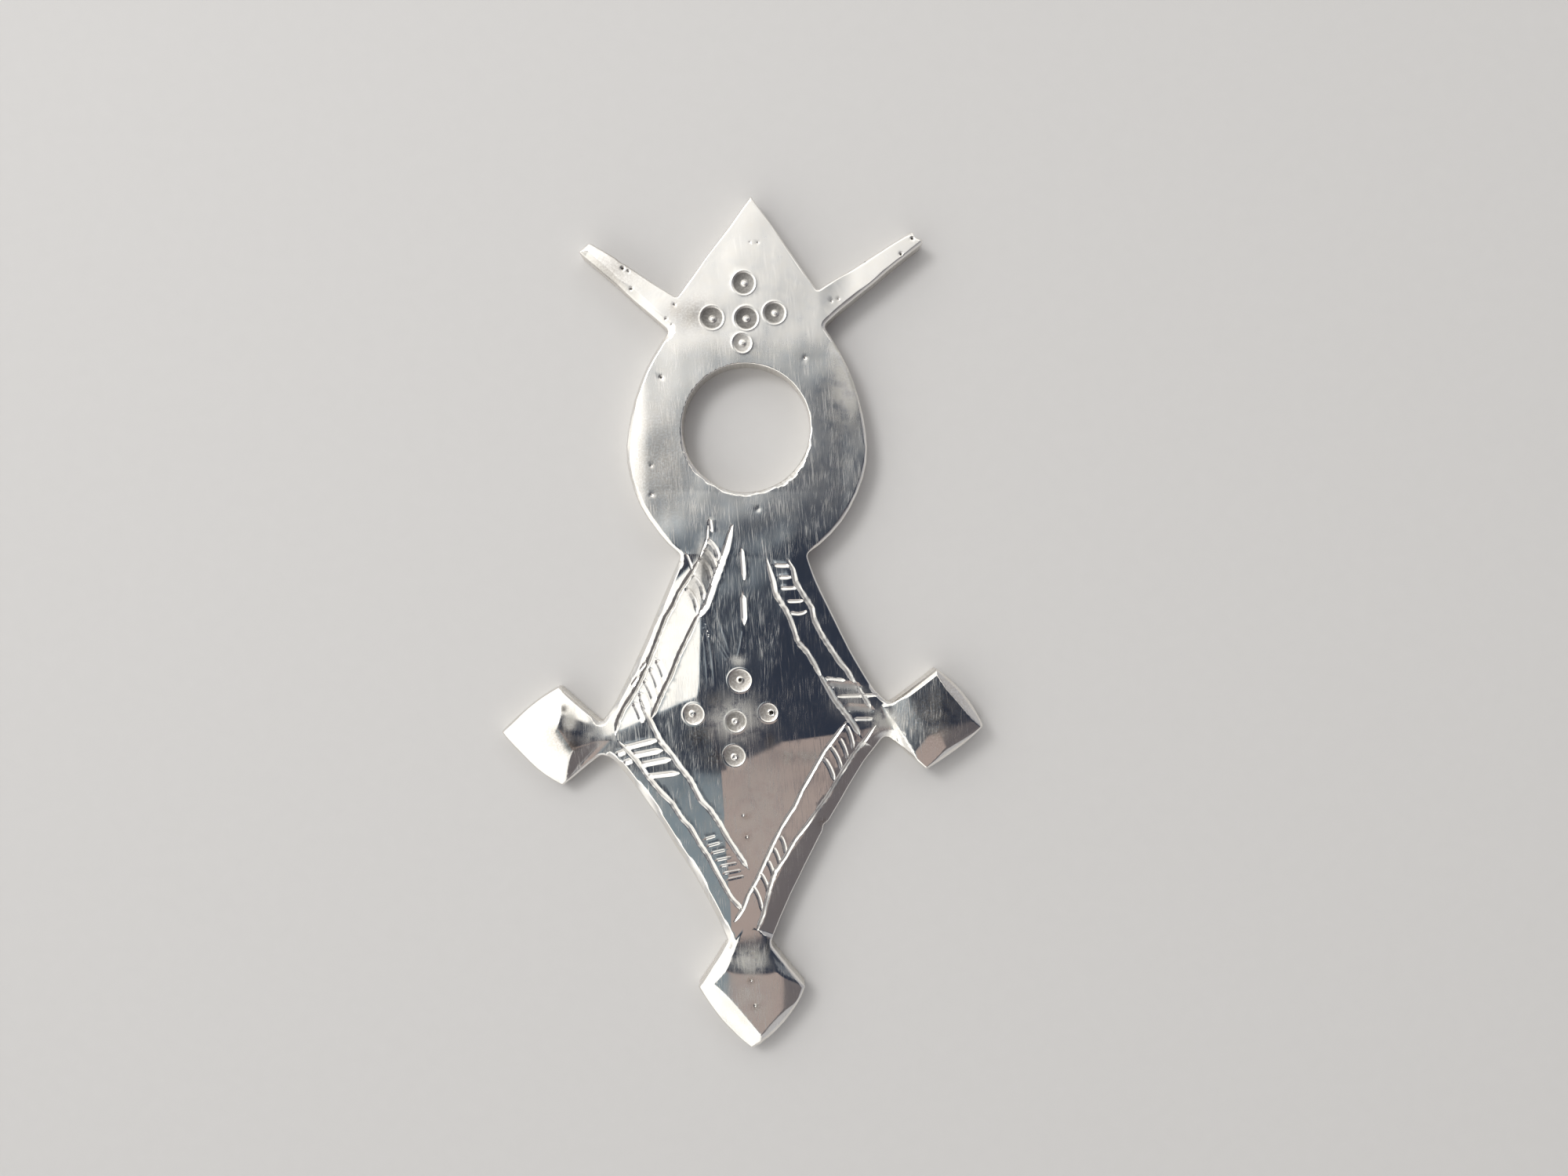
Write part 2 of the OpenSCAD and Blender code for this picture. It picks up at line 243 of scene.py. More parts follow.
# Graver lines of the four bands: the width between the points, the depth, the lean of the floor
# towards the left bank (as seen along the line), how far the lean rocks from stroke to stroke,
# the dark oxide in it, and its points
Line = namedtuple("Line", "width depth lean rock oxide points")
BAND_LINES = [
    Line(0.5, 0.12, -0.75, 0.1, 0, [
        (-0.9, -6.8), (-1.4, -8.4), (-2.1, -10.6), (-2.7, -12.4), (-3.25, -13.2)]),
    Line(0.34, 0.13, 0.25, 0.4, 0.4, [
        (-3, -12.9), (-3.4, -13.3), (-4.1, -14.7), (-4.6, -15.8), (-5.2, -17.3), (-5.6, -18.1),
        (-6.1, -19.3), (-6.6, -20.4)]),
    Line(0.22, 0.06, -0.4, 0.2, 0, [(-2.6, -6.5), (-2.7, -7.8), (-3.2, -9.1)]),
    Line(0.36, 0.13, 0.25, 0.4, 0.4, [
        (-3.2, -9.1), (-4, -10.4), (-4.7, -11.6), (-5.15, -12.5), (-5.6, -13.3), (-6.1, -14.6),
        (-6.5, -15.6), (-7, -16.7), (-7.4, -17.7), (-7.9, -18.6), (-8.5, -19.6), (-9, -20.6),
        (-9.1, -21.4)]),
    Line(0.42, 0.12, -0.25, 0.5, 0.05, [
        (-7.4, -19), (-6.7, -20.7), (-5.9, -21.9), (-5.2, -22.9), (-4.7, -23.5), (-3.9, -24.6),
        (-3.1, -26), (-2.5, -26.7), (-1.7, -27.8), (-1.2, -28.7), (-0.5, -29.8), (0.2, -30.8)]),
    Line(0.38, 0.12, -0.25, 0.4, 0.05, [
        (-9, -21.9), (-7.7, -23.3), (-7, -24.2), (-6.5, -24.8), (-5.8, -25.6), (-5.1, -26.3),
        (-4.4, -27.4), (-3.9, -28), (-3.2, -29.1), (-2.6, -30), (-2.1, -30.9), (-1.6, -31.9),
        (-1, -32.8), (-0.2, -33.8)]),
    Line(0.34, 0.11, -0.4, 0.35, 0.1, [
        (7.1, -20.5), (6.4, -21.4), (5.5, -22.6), (4.7, -24), (4, -25.3), (3.4, -26.5), (2.5, -27.9),
        (1.9, -29), (1.3, -30.4), (0.8, -31.5), (0.2, -32.7), (-0.2, -33.7), (-0.8, -34.6)]),
    Line(0.36, 0.11, -0.4, 0.35, 0.1, [
        (9.2, -20.7), (8.4, -21.8), (7.6, -22.9), (6.8, -24), (6.2, -25), (5.7, -25.9),
        (5, -26.8), (4.3, -27.8), (3.5, -28.8), (2.8, -29.9), (2.1, -31), (1.7, -32.1),
        (1.5, -33.2), (1.2, -34.2), (0.8, -35.3)]),
    Line(0.4, 0.12, -0.4, 0.4, 0.2, [
        (1.4, -9.1), (1.6, -9.9), (1.9, -10.8), (2.1, -11.6), (2.5, -12.3), (2.8, -12.7),
        (3.1, -13.4), (3.4, -14.2), (3.7, -15), (4.3, -15.7), (4.8, -16.6), (5.3, -17.5)]),
    Line(0.46, 0.1, -0.3, 0.2, 0.15, [
        (5, -17), (5.8, -18.3), (6.3, -19.1), (7, -20), (7.6, -20.8), (8, -21.5)]),
    Line(0.42, 0.12, -0.3, 0.5, 0.2, [
        (2.9, -9.1), (3.2, -9.9), (3.5, -10.7), (3.8, -11.3), (4.3, -12), (4.6, -12.7),
        (4.8, -13.4), (5.1, -14.3), (5.6, -14.9), (6, -15.6), (6.6, -16.4), (7, -17),
        (7.6, -17.8)]),
    Line(0.36, 0.1, -0.3, 0.2, 0.1, [(7.5, -17.6), (8, -18.4), (8.6, -19.3), (8.9, -19.8)]),
]
# Single cuts across the bands: their width, depth, lean and bow, then start and end of each
Bars = namedtuple("Bars", "width depth lean bow cuts")
BARS = [
    Bars(0.42, 0.11, 0.45, 0.14, [
        ((-2.75, -7.8), (-1.95, -9.4)), ((-2.95, -8.5), (-2.15, -10.3)),
        ((-3.3, -9.1), (-2.45, -11)), ((-3.8, -10.3), (-2.95, -12.1)),
        ((-4.25, -11.2), (-3.4, -13))]),
    Bars(0.5, 0.11, -0.7, 0.05, [
        ((-6.25, -16.2), (-5.6, -17.7)), ((-6.7, -16.8), (-6, -18.5)), ((-7.1, -17.6), (-6.3, -19.3)),
        ((-7.4, -18.5), (-6.8, -20)), ((-7.8, -19.2), (-7.2, -20.7))]),
    Bars(0.44, 0.09, 0.5, 0, [
        ((-8.7, -22.5), (-6.1, -21.85)), ((-8, -23), (-5.8, -22.55)), ((-7.4, -23.6), (-5.2, -23.15)),
        ((-7, -24.4), (-4.6, -24.1)), ((-9, -22.9), (-8.5, -22.7)), ((-8.5, -23.5), (-8, -23.3))]),
    Bars(0.26, 0.024, 0, 0, [
        ((-2.9, -28.8), (-2, -28.5)), ((-2.7, -29.3), (-1.7, -29)), ((-2.4, -29.8), (-1.3, -29.5)),
        ((-2.1, -30.3), (-0.9, -30)), ((-1.8, -30.7), (-0.5, -30.4)), ((-1.6, -31.2), (-0.2, -30.9)),
        ((-1.3, -31.6), (0, -31.3))]),
    Bars(0.34, 0.07, 0.3, 0.06, [
        ((7, -20.8), (7.5, -22.6)), ((6.5, -21.7), (7.1, -23.3)), ((5.9, -22.3), (6.7, -24)),
        ((5.4, -23.1), (6.2, -24.7))]),
    Bars(0.34, 0.07, 0.3, 0.06, [
        ((2.4, -28.5), (2.8, -29.8)), ((1.9, -29.3), (2.4, -30.7)), ((1.5, -30.2), (1.95, -31.6)),
        ((1, -31.1), (1.6, -32.7)), ((0.5, -32.1), (1.1, -33.9))]),
    Bars(0.28, 0.08, 0.75, -0.03, [
        ((2, -9.65), (3.05, -9.65)), ((2.3, -10.5), (3.2, -10.45)), ((2.45, -11.25), (3.55, -11.2)),
        ((2.9, -12.15), (4.05, -12.1))]),
    Bars(0.28, 0.08, 0.75, -0.14, [((3.1, -12.9), (4.3, -12.85))]),
    Bars(0.8, 0.05, 0.2, 0, [((5.6, -17.9), (8.2, -18.2)), ((6.9, -19.6), (9.1, -19.8))]),
    Bars(0.32, 0.08, 0.75, 0, [
        ((5.5, -17.55), (7, -17.7)), ((6.4, -18.8), (9.4, -18.75)), ((7.6, -20.4), (8.95, -20.4))]),
    Bars(0.3, 0.09, -0.3, 0, [((-6.9, -16.4), (-7.4, -17)), ((-7.5, -17.4), (-8, -18.1))]),
    Bars(0.36, 0.13, -0.5, 0, [((-0.3, -8.5), (-0.12, -10.7))]),
    Bars(0.46, 0.14, -0.3, 0, [((-0.2, -11.7), (-0.08, -13.75))]),
    Bars(0.26, 0.06, 0, 0, [((-4.2, -8.8), (-3.6, -10.3)), ((-2.5, -6.4), (-2.35, -7.3))]),
    Bars(0.07, 0.012, 0, 0.02, [
        ((-3.1, -13.2), (-1.15, -16.15)), ((-2.5, -12), (-1.1, -15.8)),
        ((-0.2, -14.1), (-0.6, -16.2)), ((-2.9, -14), (-1.3, -16.3)),
        ((-3, -14.4), (-2.7, -19.3)), ((-2.8, -13.6), (-2.2, -18.2))]),
]

# Ring punches: round dishes, each with a pip. Columns: place, radius, depth, dark oxide in the
# dish, offset of the pip, and the depth of the hole that the tool's point left in the pip
Punch = namedtuple("Punch", "x y radius depth oxide pip_x pip_y hole")
PUNCHES = [
    Punch(-0.15, 10.1, 0.82, 0.15, 0.62, 0.06, 0, 0),
    Punch(-2.35, 7.65, 0.81, 0.15, 0.62, 0.04, -0.08, 0),
    Punch(0.05, 7.65, 0.83, 0.16, 0.66, 0.02, -0.02, 0),
    Punch(2, 8, 0.78, 0.15, 0.62, 0.05, 0, 0),
    Punch(-0.25, 5.9, 0.68, 0.09, 0.45, 0.04, 0, 0),
    Punch(-0.4, -17.65, 0.8, 0.13, 0.4, 0.04, 0.02, 0.14),
    Punch(-3.6, -20, 0.72, 0.11, 0.45, -0.1, 0, 0.03),
    Punch(-0.65, -20.5, 0.74, 0.12, 0.5, -0.05, 0, 0.06),
    Punch(1.6, -19.9, 0.66, 0.11, 0.4, 0.22, -0.02, 0.3),
    Punch(-0.75, -22.9, 0.76, 0.12, 0.45, 0, -0.1, 0.1),
]

# Casting pits. Columns: place, radius, depth
PITS = [
    (-8.62, 11.1, 0.14, 0.12), (-8.2, 10.9, 0.1, 0.1), (-8, 9.7, 0.12, 0.1),
    (11.65, 13.25, 0.13, 0.14), (12.1, 13.5, 0.09, 0.2), (10.85, 12.1, 0.12, 0.12),
    (6.5, 8.95, 0.07, 0.08), (6, 8.8, 0.07, 0.08), (8.3, 11.65, 0.09, 0.08),
    (-5.9, 3.5, 0.14, 0.1), (4.15, 4.85, 0.1, 0.08), (0.85, 12.9, 0.07, 0.05),
    (0.3, 12.95, 0.06, 0.03), (-6.55, -4.75, 0.09, 0.08), (-6.6, -2.7, 0.07, 0.06),
    (-5, 8.6, 0.09, 0.08), (-5.6, 7.6, 0.1, 0.08), (-5.2, 7.2, 0.07, 0.06),
    (-0.15, -27.1, 0.09, 0.04), (0.1, -28.6, 0.09, 0.04), (0.4, -38.6, 0.07, 0.04),
    (0.65, -40.35, 0.1, 0.05), (0.85, -5.7, 0.25, 0.02),
]
# Places where the edge is notched or dented. Columns: place, direction of the push, depth, width
NOTCHES = [
    (12.05, 13.55, -0.72, -0.69, 0.32, 0.22),
    (5.55, -27.9, -0.88, 0.48, 0.16, 0.3),
    (-8.75, 11.6, -0.55, -0.83, 0.06, 0.25),
    (1.2, -42.9, -0.7, 0.7, 0.05, 0.4),
]
# Stains and dull patches, and two patches of painted light. Columns: place, radius along X and Y,
# dark oxide, brown, matte, film
STAINS_AND_PAINTED_LIGHT = [
    (-2.9, -9.6, 0.7, 2, 0.6, 0, 0.3, 0), (-3.6, -11.3, 0.6, 1.2, 0.5, 0, 0.3, 0),
    (-3.2, -21.6, 0.9, 0.9, 0.2, 0.6, 0, 0), (-2.1, -23, 0.8, 0.7, 0.1, 0.6, 0.1, 0),
    (-2.2, -19, 0.6, 0.5, 0, 0.4, 0.1, 0), (1.7, -21.9, 0.4, 0.7, 0.5, 0, 0, 0),
    (-0.5, -16.3, 0.45, 0.3, 0, 0, 0.6, 0.5), (-0.8, -20.3, 1.6, 1.3, 0, 0, 0.6, 0.5),
    (7.4, -18.9, 1.1, 1, 0, 0, 0.4, 0.2), (-5.8, -2.5, 1.8, 4, 0.2, 0.3, 0.2, 0),
    (2.9, -23, 0.5, 0.5, 0, 0.35, 0.3, 0.3), (4.3, -23, 0.9, 0.5, 0, 0.25, 0.3, 0.2),
    (0.1, -27.2, 0.3, 0.2, 0, 0.5, 0, 0), (0.1, -28.6, 0.25, 0.3, 0, 0.4, 0, 0),
    (0.4, -38.6, 0.25, 0.25, 0.2, 0.5, 0.3, 0), (0.7, -40.4, 0.4, 0.3, 0.1, 0.45, 0.4, 0),
    (0.5, -36.8, 0.5, 1, 0.1, 0.35, 0.5, 0.2), (1.5, -36.6, 0.2, 1, 0.5, 0, 0.2, 0),
    (-4.9, 8.2, 0.5, 0.6, 0.1, 0.35, 0, 0), (5.4, -27.7, 0.3, 0.3, 0, 0.6, 0.3, 0),
    (13.2, -19.8, 2, 2, 0.15, 0.5, 0.1, 0.06), (13.4, -21.2, 0.8, 0.7, 0, 0.45, 0.3, 0.15),
    (-12.6, -21.4, 1.2, 1.2, 0.1, 0.4, 0.2, 0.15), (-12.3, -20.6, 0.4, 0.7, 0, 0.2, 1, 0.5),
    (-12.7, -19.7, 0.3, 0.3, 0.7, 0.2, 0.3, 0), (-12.1, -22.2, 0.6, 0.5, 0.5, 0.5, 0, 0),
    # The stain at (-3.5, 7.9) makes the head darker towards its lower left
    (0, 5.3, 4, 0.8, 0.05, 0.1, 0.4, 0.1), (-3.5, 7.9, 1.5, 1.2, 0.46, 0.2, 0.3, 0),
    (-10.5, -21.5, 1, 0.9, 0, 0, 0.5, 0.3), (9.7, -20.6, 0.9, 0.8, 0, 0, 0.7, 0.6),
    # The two patches at (7.1, 3.2) and (6.6, 5.6) are painted light: their film and brown lighten and
    # warm the ring's upper right, standing in for light that falls down its right edge, and their
    # matte only roughens it
    (7.1, 3.2, 1.3, 3.2, 0, 0.15, 0.8, 0.4), (6.6, 5.6, 1.1, 1.1, 0, 0, 0.8, 0.3),
    (1, -27, 2.5, 4, 0, 0, 0.2, 0.12), (0.3, -37.3, 1, 0.8, 0, 0.2, 0.6, 0.6),
    (0.3, -40, 2.2, 2.2, 0, 0.05, 0.35, 0.1), (-9.3, 11, 2.2, 1.8, 0.42, 0.15, 0.2, 0),
]

# The ring's low crown: its middle and half width from the hole's middle, its fall at the sides,
# and where it fades out
RING_MIDDLE = 6.2
RING_HALF = 1.8
CROWN_FALL = 0.01
CROWN_ENDS = (9, 7)
# Worn left shoulder: where it starts, how far it reaches, its fall, and where it fades out
LEFT_FALL_X = -6.8
LEFT_FALL_REACH = 1.7
LEFT_FALL = 0.13
LEFT_FALL_ENDS = (9, 5)
# Where the ring's curve down to its right edge starts, how far it reaches and where it fades out
RIGHT_FALL_X = 1
RIGHT_FALL_REACH = 5.8
RIGHT_FALL_ENDS = (4.5, 0)
# Middle lines of the horns from root to tip, and where the right one's tilt sets in
LEFT_HORN_LINE = ((-5.1, 7.9), (-11.35, 12.7))
RIGHT_HORN_LINE = ((5.2, 8.4), (12.1, 13.4))
HORN_TILT_START = 1.1
HORN_TILT_ENDS = (5, 7.5)
# Where the plate ends under the body, and how far a finial reaches from its peak
PLATE_LAST_Y = -12
FINIAL_REACH = 7
# How uneven the width of the filed bevels is, and how softly they start
BEVEL_UNEVEN = 0.25
BEVEL_BLEND = 0.03
# Waves of the surface and of the edges: shortest and longest length
WIDE_WAVES = (2.5, 9)
FILE_WAVES = (0.9, 2.2)
BEVEL_WAVES = (1.2, 6)
CHIP_WAVES = (0.25, 1.2)
SHIFT_WAVES = (2, 8)
# Height of the file's waves against the wide ones, and how much they are drawn out along Y
FILE_WAVE_SHARE = 0.12
FILE_WAVE_STRETCH = (1, 0.15)
# How far the hand was off when it cut the outline, and the seeds for X and Y
OUTLINE_ERROR = 0.03
SHIFT_SEEDS = (SEED + 6, SEED + 7)

# Chipped chamfer round the cord hole, by the turn in degrees, clockwise from the place where it
# starts: its widths, the turns over which it sets in, widens and ends, and its broad spot
CHAMFER_START = 80
NARROW_CHAMFER = 0.08
WIDER_CHAMFER = 0.14
CHAMFER_SETS_IN = (0, 6)
CHAMFER_WIDENS = (70, 140)
CHAMFER_ENDS = (285, 225)
BROAD_SPOT = 0.12
BROAD_SPOT_TURN = 125
BROAD_SPOT_REACH = 20
CHAMFER_SLOPE = 0.8
CHAMFER_BLEND = 0.02
CHIP_SHARE = 0.22
HOLE_ROUND = 0.05

# Hand of the engraver: length of the short pushes that a line is cut with, how far they drift
# and how fast, how much the width varies in one, and how far the line's points are off
STROKE = 0.8
STROKE_DRIFT = 2.4
STROKE_DRIFT_PACE = 1.9
STROKE_SHARE = 0.07
LINE_ERROR = 0.025
# How much of its rock a line leans by, to one side and the other in turn, and its steepest lean
ROCK_SHARES = (0.5, 1)
STEEPEST_LEAN = 0.85
# Lengths over which a line sets in and runs out, and the same as shares of a bar's length
LINE_ENDS = (1.2, 0.5)
BAR_ENDS = (0.12, 0.2)
# Points along a bar, and ranges of its width and depth against those of its group
BAR_POINTS = 5
BAR_WIDTHS = (0.92, 1.08)
BAR_DEPTHS = (0.85, 1.15)
# A cut's taper, its half width where it ends, its rounded floor, and the burr at its left bank
TAPER_POWER = 0.6
LEAST_HALF = 1e-6
FLOOR_ROUND = 0.008
BANK_TOP = 1.01
BURR_HEIGHT = 0.005
BURR_PLACE = 1.15
BURR_WIDTH = 0.09
# Depth of another cut from which a burr is cut away
BURR_LIMIT = 0.02

# A punch's dish and lip: the power of the dish's curve, and the lip's height, place and width
DISH_POWER = 3
LIP_HEIGHT = 0.012
LIP_PLACE = 1.05
LIP_WIDTH = 0.07
# Radii of the foot and top of the pip and of the hole in it, and how much of the dish it fills
PIP_FOOT, PIP_TOP = 0.29, 0.1
POINT_EDGE, POINT_FLOOR = 0.18, 0.05
PIP_SHARE = 0.7
PUNCH_REACH = 1.4
# Spread of a pit, and of the oxide round it, against its radius
PIT_SPREAD = 0.707
PIT_OXIDE_SPREAD = 0.775
OXIDE_BY_PIT_DEPTH = 9

# Masks that the silver's material reads, and their values on the walls and the back
# The brown and film masks also hold the painted light on the ring's upper right
MASKS = ("oxide", "brown", "matte", "film")
PLAIN_MASKS = (0.2, 0.1, 0.7, 0)
# Depths between which a cut starts to look cut, and its oxide and matte
CUT_DEPTHS = (0.01, 0.05)
CUT_OXIDE = 0.08
CUT_MATTE = 0.75
# Matte wear of the ring and the head, and the Y between which each sets in
RING_MATTE = 0.28
RING_MATTE_ENDS = (-9.5, -4)
HEAD_MATTE = 0.55
HEAD_MATTE_ENDS = (3, 7)
# Brown in the body's punch marks, where a dish's masks end as a share of its radius, how clean
# its pip is and where, and the hole depth from which the pip's hole is dark
PUNCH_BROWN = 0.3
DISH_MASK_EDGE = 0.85
PIP_CLEAN = 0.9
PIP_MASK = (0.28, 0.18)
POINT_MASK = (0.18, 0.1)
DARK_POINT = 0.1

# The mesh. Places along both loops and the arcs and rounded corners of the outline
LOOP_STEP = 0.14
ARC_STEPS = 8
ROUND_STEPS = 5
# Distances of the rows of places along the outline, the hole and the back's edges
EDGE_ROWS = (0.02, 0.05, 0.09, 0.14, 0.2, 0.28, 0.38, 0.5, 0.64)
HOLE_ROWS = (0.02, 0.06, 0.11, 0.17, 0.24, 0.32, 0.42, 0.55)
BACK_ROWS = (0.02, 0.06, 0.12)
ROW_SHARE = 0.93
FIRST_ROW_SHARE = 0.9
# Step along a cut, rows outside its banks, and rows on them as shares of their width
CUT_STEP = 0.09
FEWEST_CUT_STEPS = 3
BANK_EDGE = (0.018, 0.07)
BANK_ROWS = (0.72, 0.38)
LEAST_CUT_SHARE = 0.25
# Step over a punch mark, how far its rings go, and a pit's rings: shares of its radius, counts
PUNCH_STEP = 0.07
PUNCH_RINGS = 1.15
RING_GAP = 1.2
FEWEST_IN_RING = 8
PIT_RINGS = ((0, 1), (0.35, 7), (0.7, 11), (1.05, 15), (1.5, 18))
# Steps over ridges and the back, the bend that makes a ridge, and how far coarse places keep off
RIDGE_STEP = 0.1
RIDGE_BEND = 0.02
BACK_STEP = 0.7
COARSE_GAP = 0.7
BACK_GAP = 0.6
# Height of an even triangle with sides of 1
TRIANGLE_HEIGHT = 0.866
# Places nearer than this are one, and triangles smaller than this are empty
SAME_PLACE = 0.04
SAME_POINT = 1e-7
EMPTY_AREA = 1e-6
WALL_ROWS = 4
BACK_ROUND = 0.12
# Half the base over which a slope is measured
SLOPE_STEP = 0.012
# Places measured at a time
CHUNK = 6000


# Curves and outlines


def arc_points(a, b, bow, steps):
    """Points from a, without b, on the arc whose middle bulges by bow to the left of a to b."""
    a, b = np.array(a), np.array(b)
    if bow == 0:
        return [a]
    chord = b - a
    along = chord / np.linalg.norm(chord)
    side = np.array([-along[1], along[0]]) * np.sign(bow)
    half = np.linalg.norm(chord) / 2
    radius = (half**2 + bow**2) / (2 * abs(bow))
    half_angle = math.asin(min(1, half / radius))
    middle = (a + b) / 2 - side * (radius - abs(bow))
    angles = [half_angle * (2 * i / steps - 1) for i in range(steps)]
    return [middle + radius * (side * math.cos(t) + along * math.sin(t)) for t in angles]


def rounded_corner(before, here, after, reach):
    """Points of a short curve that replaces a corner."""
    if reach == 0:
        return [here]
    back = (before - here) / np.linalg.norm(before - here)
    on = (after - here) / np.linalg.norm(after - here)
    start, end = here + back * reach, here + on * reach
    steps = np.linspace(0, 1, ROUND_STEPS)
    return [(1 - t) ** 2 * start + 2 * t * (1 - t) * here + t**2 * end for t in steps]


def outline_curve(corners):
    """Closed outline as points, with the bevel width and drop of the stretch after each point."""
    arcs = []
    for i, here in enumerate(corners):
        after = corners[(i + 1) % len(corners)]
        arcs.append(arc_points(here[:2], after[:2], here.bow, ARC_STEPS))
    points, bevels = [], []
    for i, here in enumerate(corners):
        before = arcs[i - 1][-1]
        after = arcs[i][1] if len(arcs[i]) > 1 else arcs[(i + 1) % len(arcs)][0]
        stretch = rounded_corner(before, arcs[i][0], after, here.rounding) + arcs[i][1:]
        points += stretch
        bevels += [(here.bevel, here.drop)] * len(stretch)
    return np.array(points), np.array(bevels)


def eased_bevels(points, bevels):
    """Ways along the outline with the bevel sizes there, so that these change gradually."""
    lengths = np.linalg.norm(np.roll(points, -1, axis=0) - points, axis=1)
    ends = np.cumsum(lengths)
    ease = np.minimum(BEVEL_EASE, lengths / 2)
    ways = np.stack([ends - lengths + ease, ends - ease], axis=1).ravel()
    return ways, np.repeat(bevels, 2, axis=0), ends[-1]


def resampled(points, step):
    """Closed loop cut into pieces no longer than step, keeping its points."""
    result = []
    for a, b in zip(points, np.roll(points, -1, axis=0)):
        pieces = max(1, math.ceil(np.linalg.norm(b - a) / step))
        result += [a + (b - a) * k / pieces for k in range(pieces)]
    return np.array(result)


def loop_normals(points):
    """Outward directions at the points of a clockwise loop."""
    ahead = np.roll(points, -1, axis=0) - points
    behind = points - np.roll(points, 1, axis=0)
    along = ahead / np.linalg.norm(ahead, axis=1)[:, None]
    along += behind / np.linalg.norm(behind, axis=1)[:, None]
    along /= np.linalg.norm(along, axis=1)[:, None]
    return np.stack([-along[:, 1], along[:, 0]], axis=1)


def nearest_on_loop(places, points):
    """Distance from each place to a closed loop, and the way along the loop to there."""
    ends = np.roll(points, -1, axis=0)
    run = ends - points
    length2 = (run**2).sum(1)
    lengths = np.sqrt(length2)
    starts = np.cumsum(lengths) - lengths
    distances, ways = [], []
    for k in range(0, len(places), CHUNK):
        gap = places[k : k + CHUNK, None] - points[None]
        t = np.clip((gap * run).sum(2) / length2, 0, 1)
        off = gap - t[..., None] * run
        square = (off**2).sum(2)
        number = square.argmin(1)
        row = np.arange(len(number))
        ways.append(starts[number] + t[row, number] * lengths[number])
        distances.append(np.sqrt(square[row, number]))
    return np.concatenate(distances), np.concatenate(ways)


def inside_loop(places, points):
    """True for the places that a closed loop surrounds."""
    x, y = places[:, 0], places[:, 1]
    inside = np.zeros(len(places), bool)
    for (ax, ay), (bx, by) in zip(points, np.roll(points, -1, axis=0)):
        if ay == by:
            continue
        crosses = (ay > y) != (by > y)
        inside ^= crosses & (x < ax + (bx - ax) * (y - ay) / (by - ay))
    return inside


# Blending of heights


def soft_min(a, b, blend):
    """The lower of two heights, rounded where they meet."""
    mix = np.clip(0.5 + 0.5 * (b - a) / blend, 0, 1)
    return b + (a - b) * mix - blend * mix * (1 - mix)


def soft_max(a, b, blend):
    """The higher of two heights, rounded where they meet."""
    return -soft_min(-a, -b, blend)


def inside_line(places, start, end):
    """Distance to the right of the line from start to end, so into a clockwise outline."""
    run = np.subtract(end, start)
    run = run / np.linalg.norm(run)
    return (places[:, 0] - start[0]) * run[1] - (places[:, 1] - start[1]) * run[0]


def smooth_step(value, low, high):
    """Smooth rise of a value's share from 0 at low to 1 at high."""
    t = np.clip((value - low) / (high - low), 0, 1)
    return t * t * (3 - 2 * t)


def hump(value, middle, width):
    """Soft hump, 1 high at the middle and a third of that at the width from it."""
    return np.exp(-(((value - middle) / width) ** 2))


def reach_from(places, x, y):
    """Distance of each place from one point."""
    return np.hypot(places[:, 0] - x, places[:, 1] - y)


def spot(places, x, y, radius_x, radius_y):
    """Soft oval spot, 1 in its middle and a third of that at its radii."""
    return hump(places[:, 0], x, radius_x) * hump(places[:, 1], y, radius_y)


class Unevenness:
    """Sum of seeded waves in all directions, about one high, for hand-worked surfaces."""

    def __init__(self, seed, shortest, longest, count=20):
        rng = np.random.default_rng(seed)
        lengths = np.exp(rng.uniform(math.log(shortest), math.log(longest), count))
        angles = rng.uniform(0, 2 * math.pi, count)
        self.waves = 2 * math.pi / lengths * np.array([np.cos(angles), np.sin(angles)])
        self.shifts = rng.uniform(0, 2 * math.pi, count)
        self.heights = lengths / longest / math.sqrt(count / 2)

    def at(self, places):
        """Height of the waves at the places."""
        return np.sin(places @ self.waves + self.shifts) @ self.heights


# The relief of the upper face


def rounding(distance, radius):
    """How much a rounded edge takes off at some distance from it."""
    inner = np.clip(radius - distance, 0, radius)
    return radius - np.sqrt(radius**2 - inner**2)


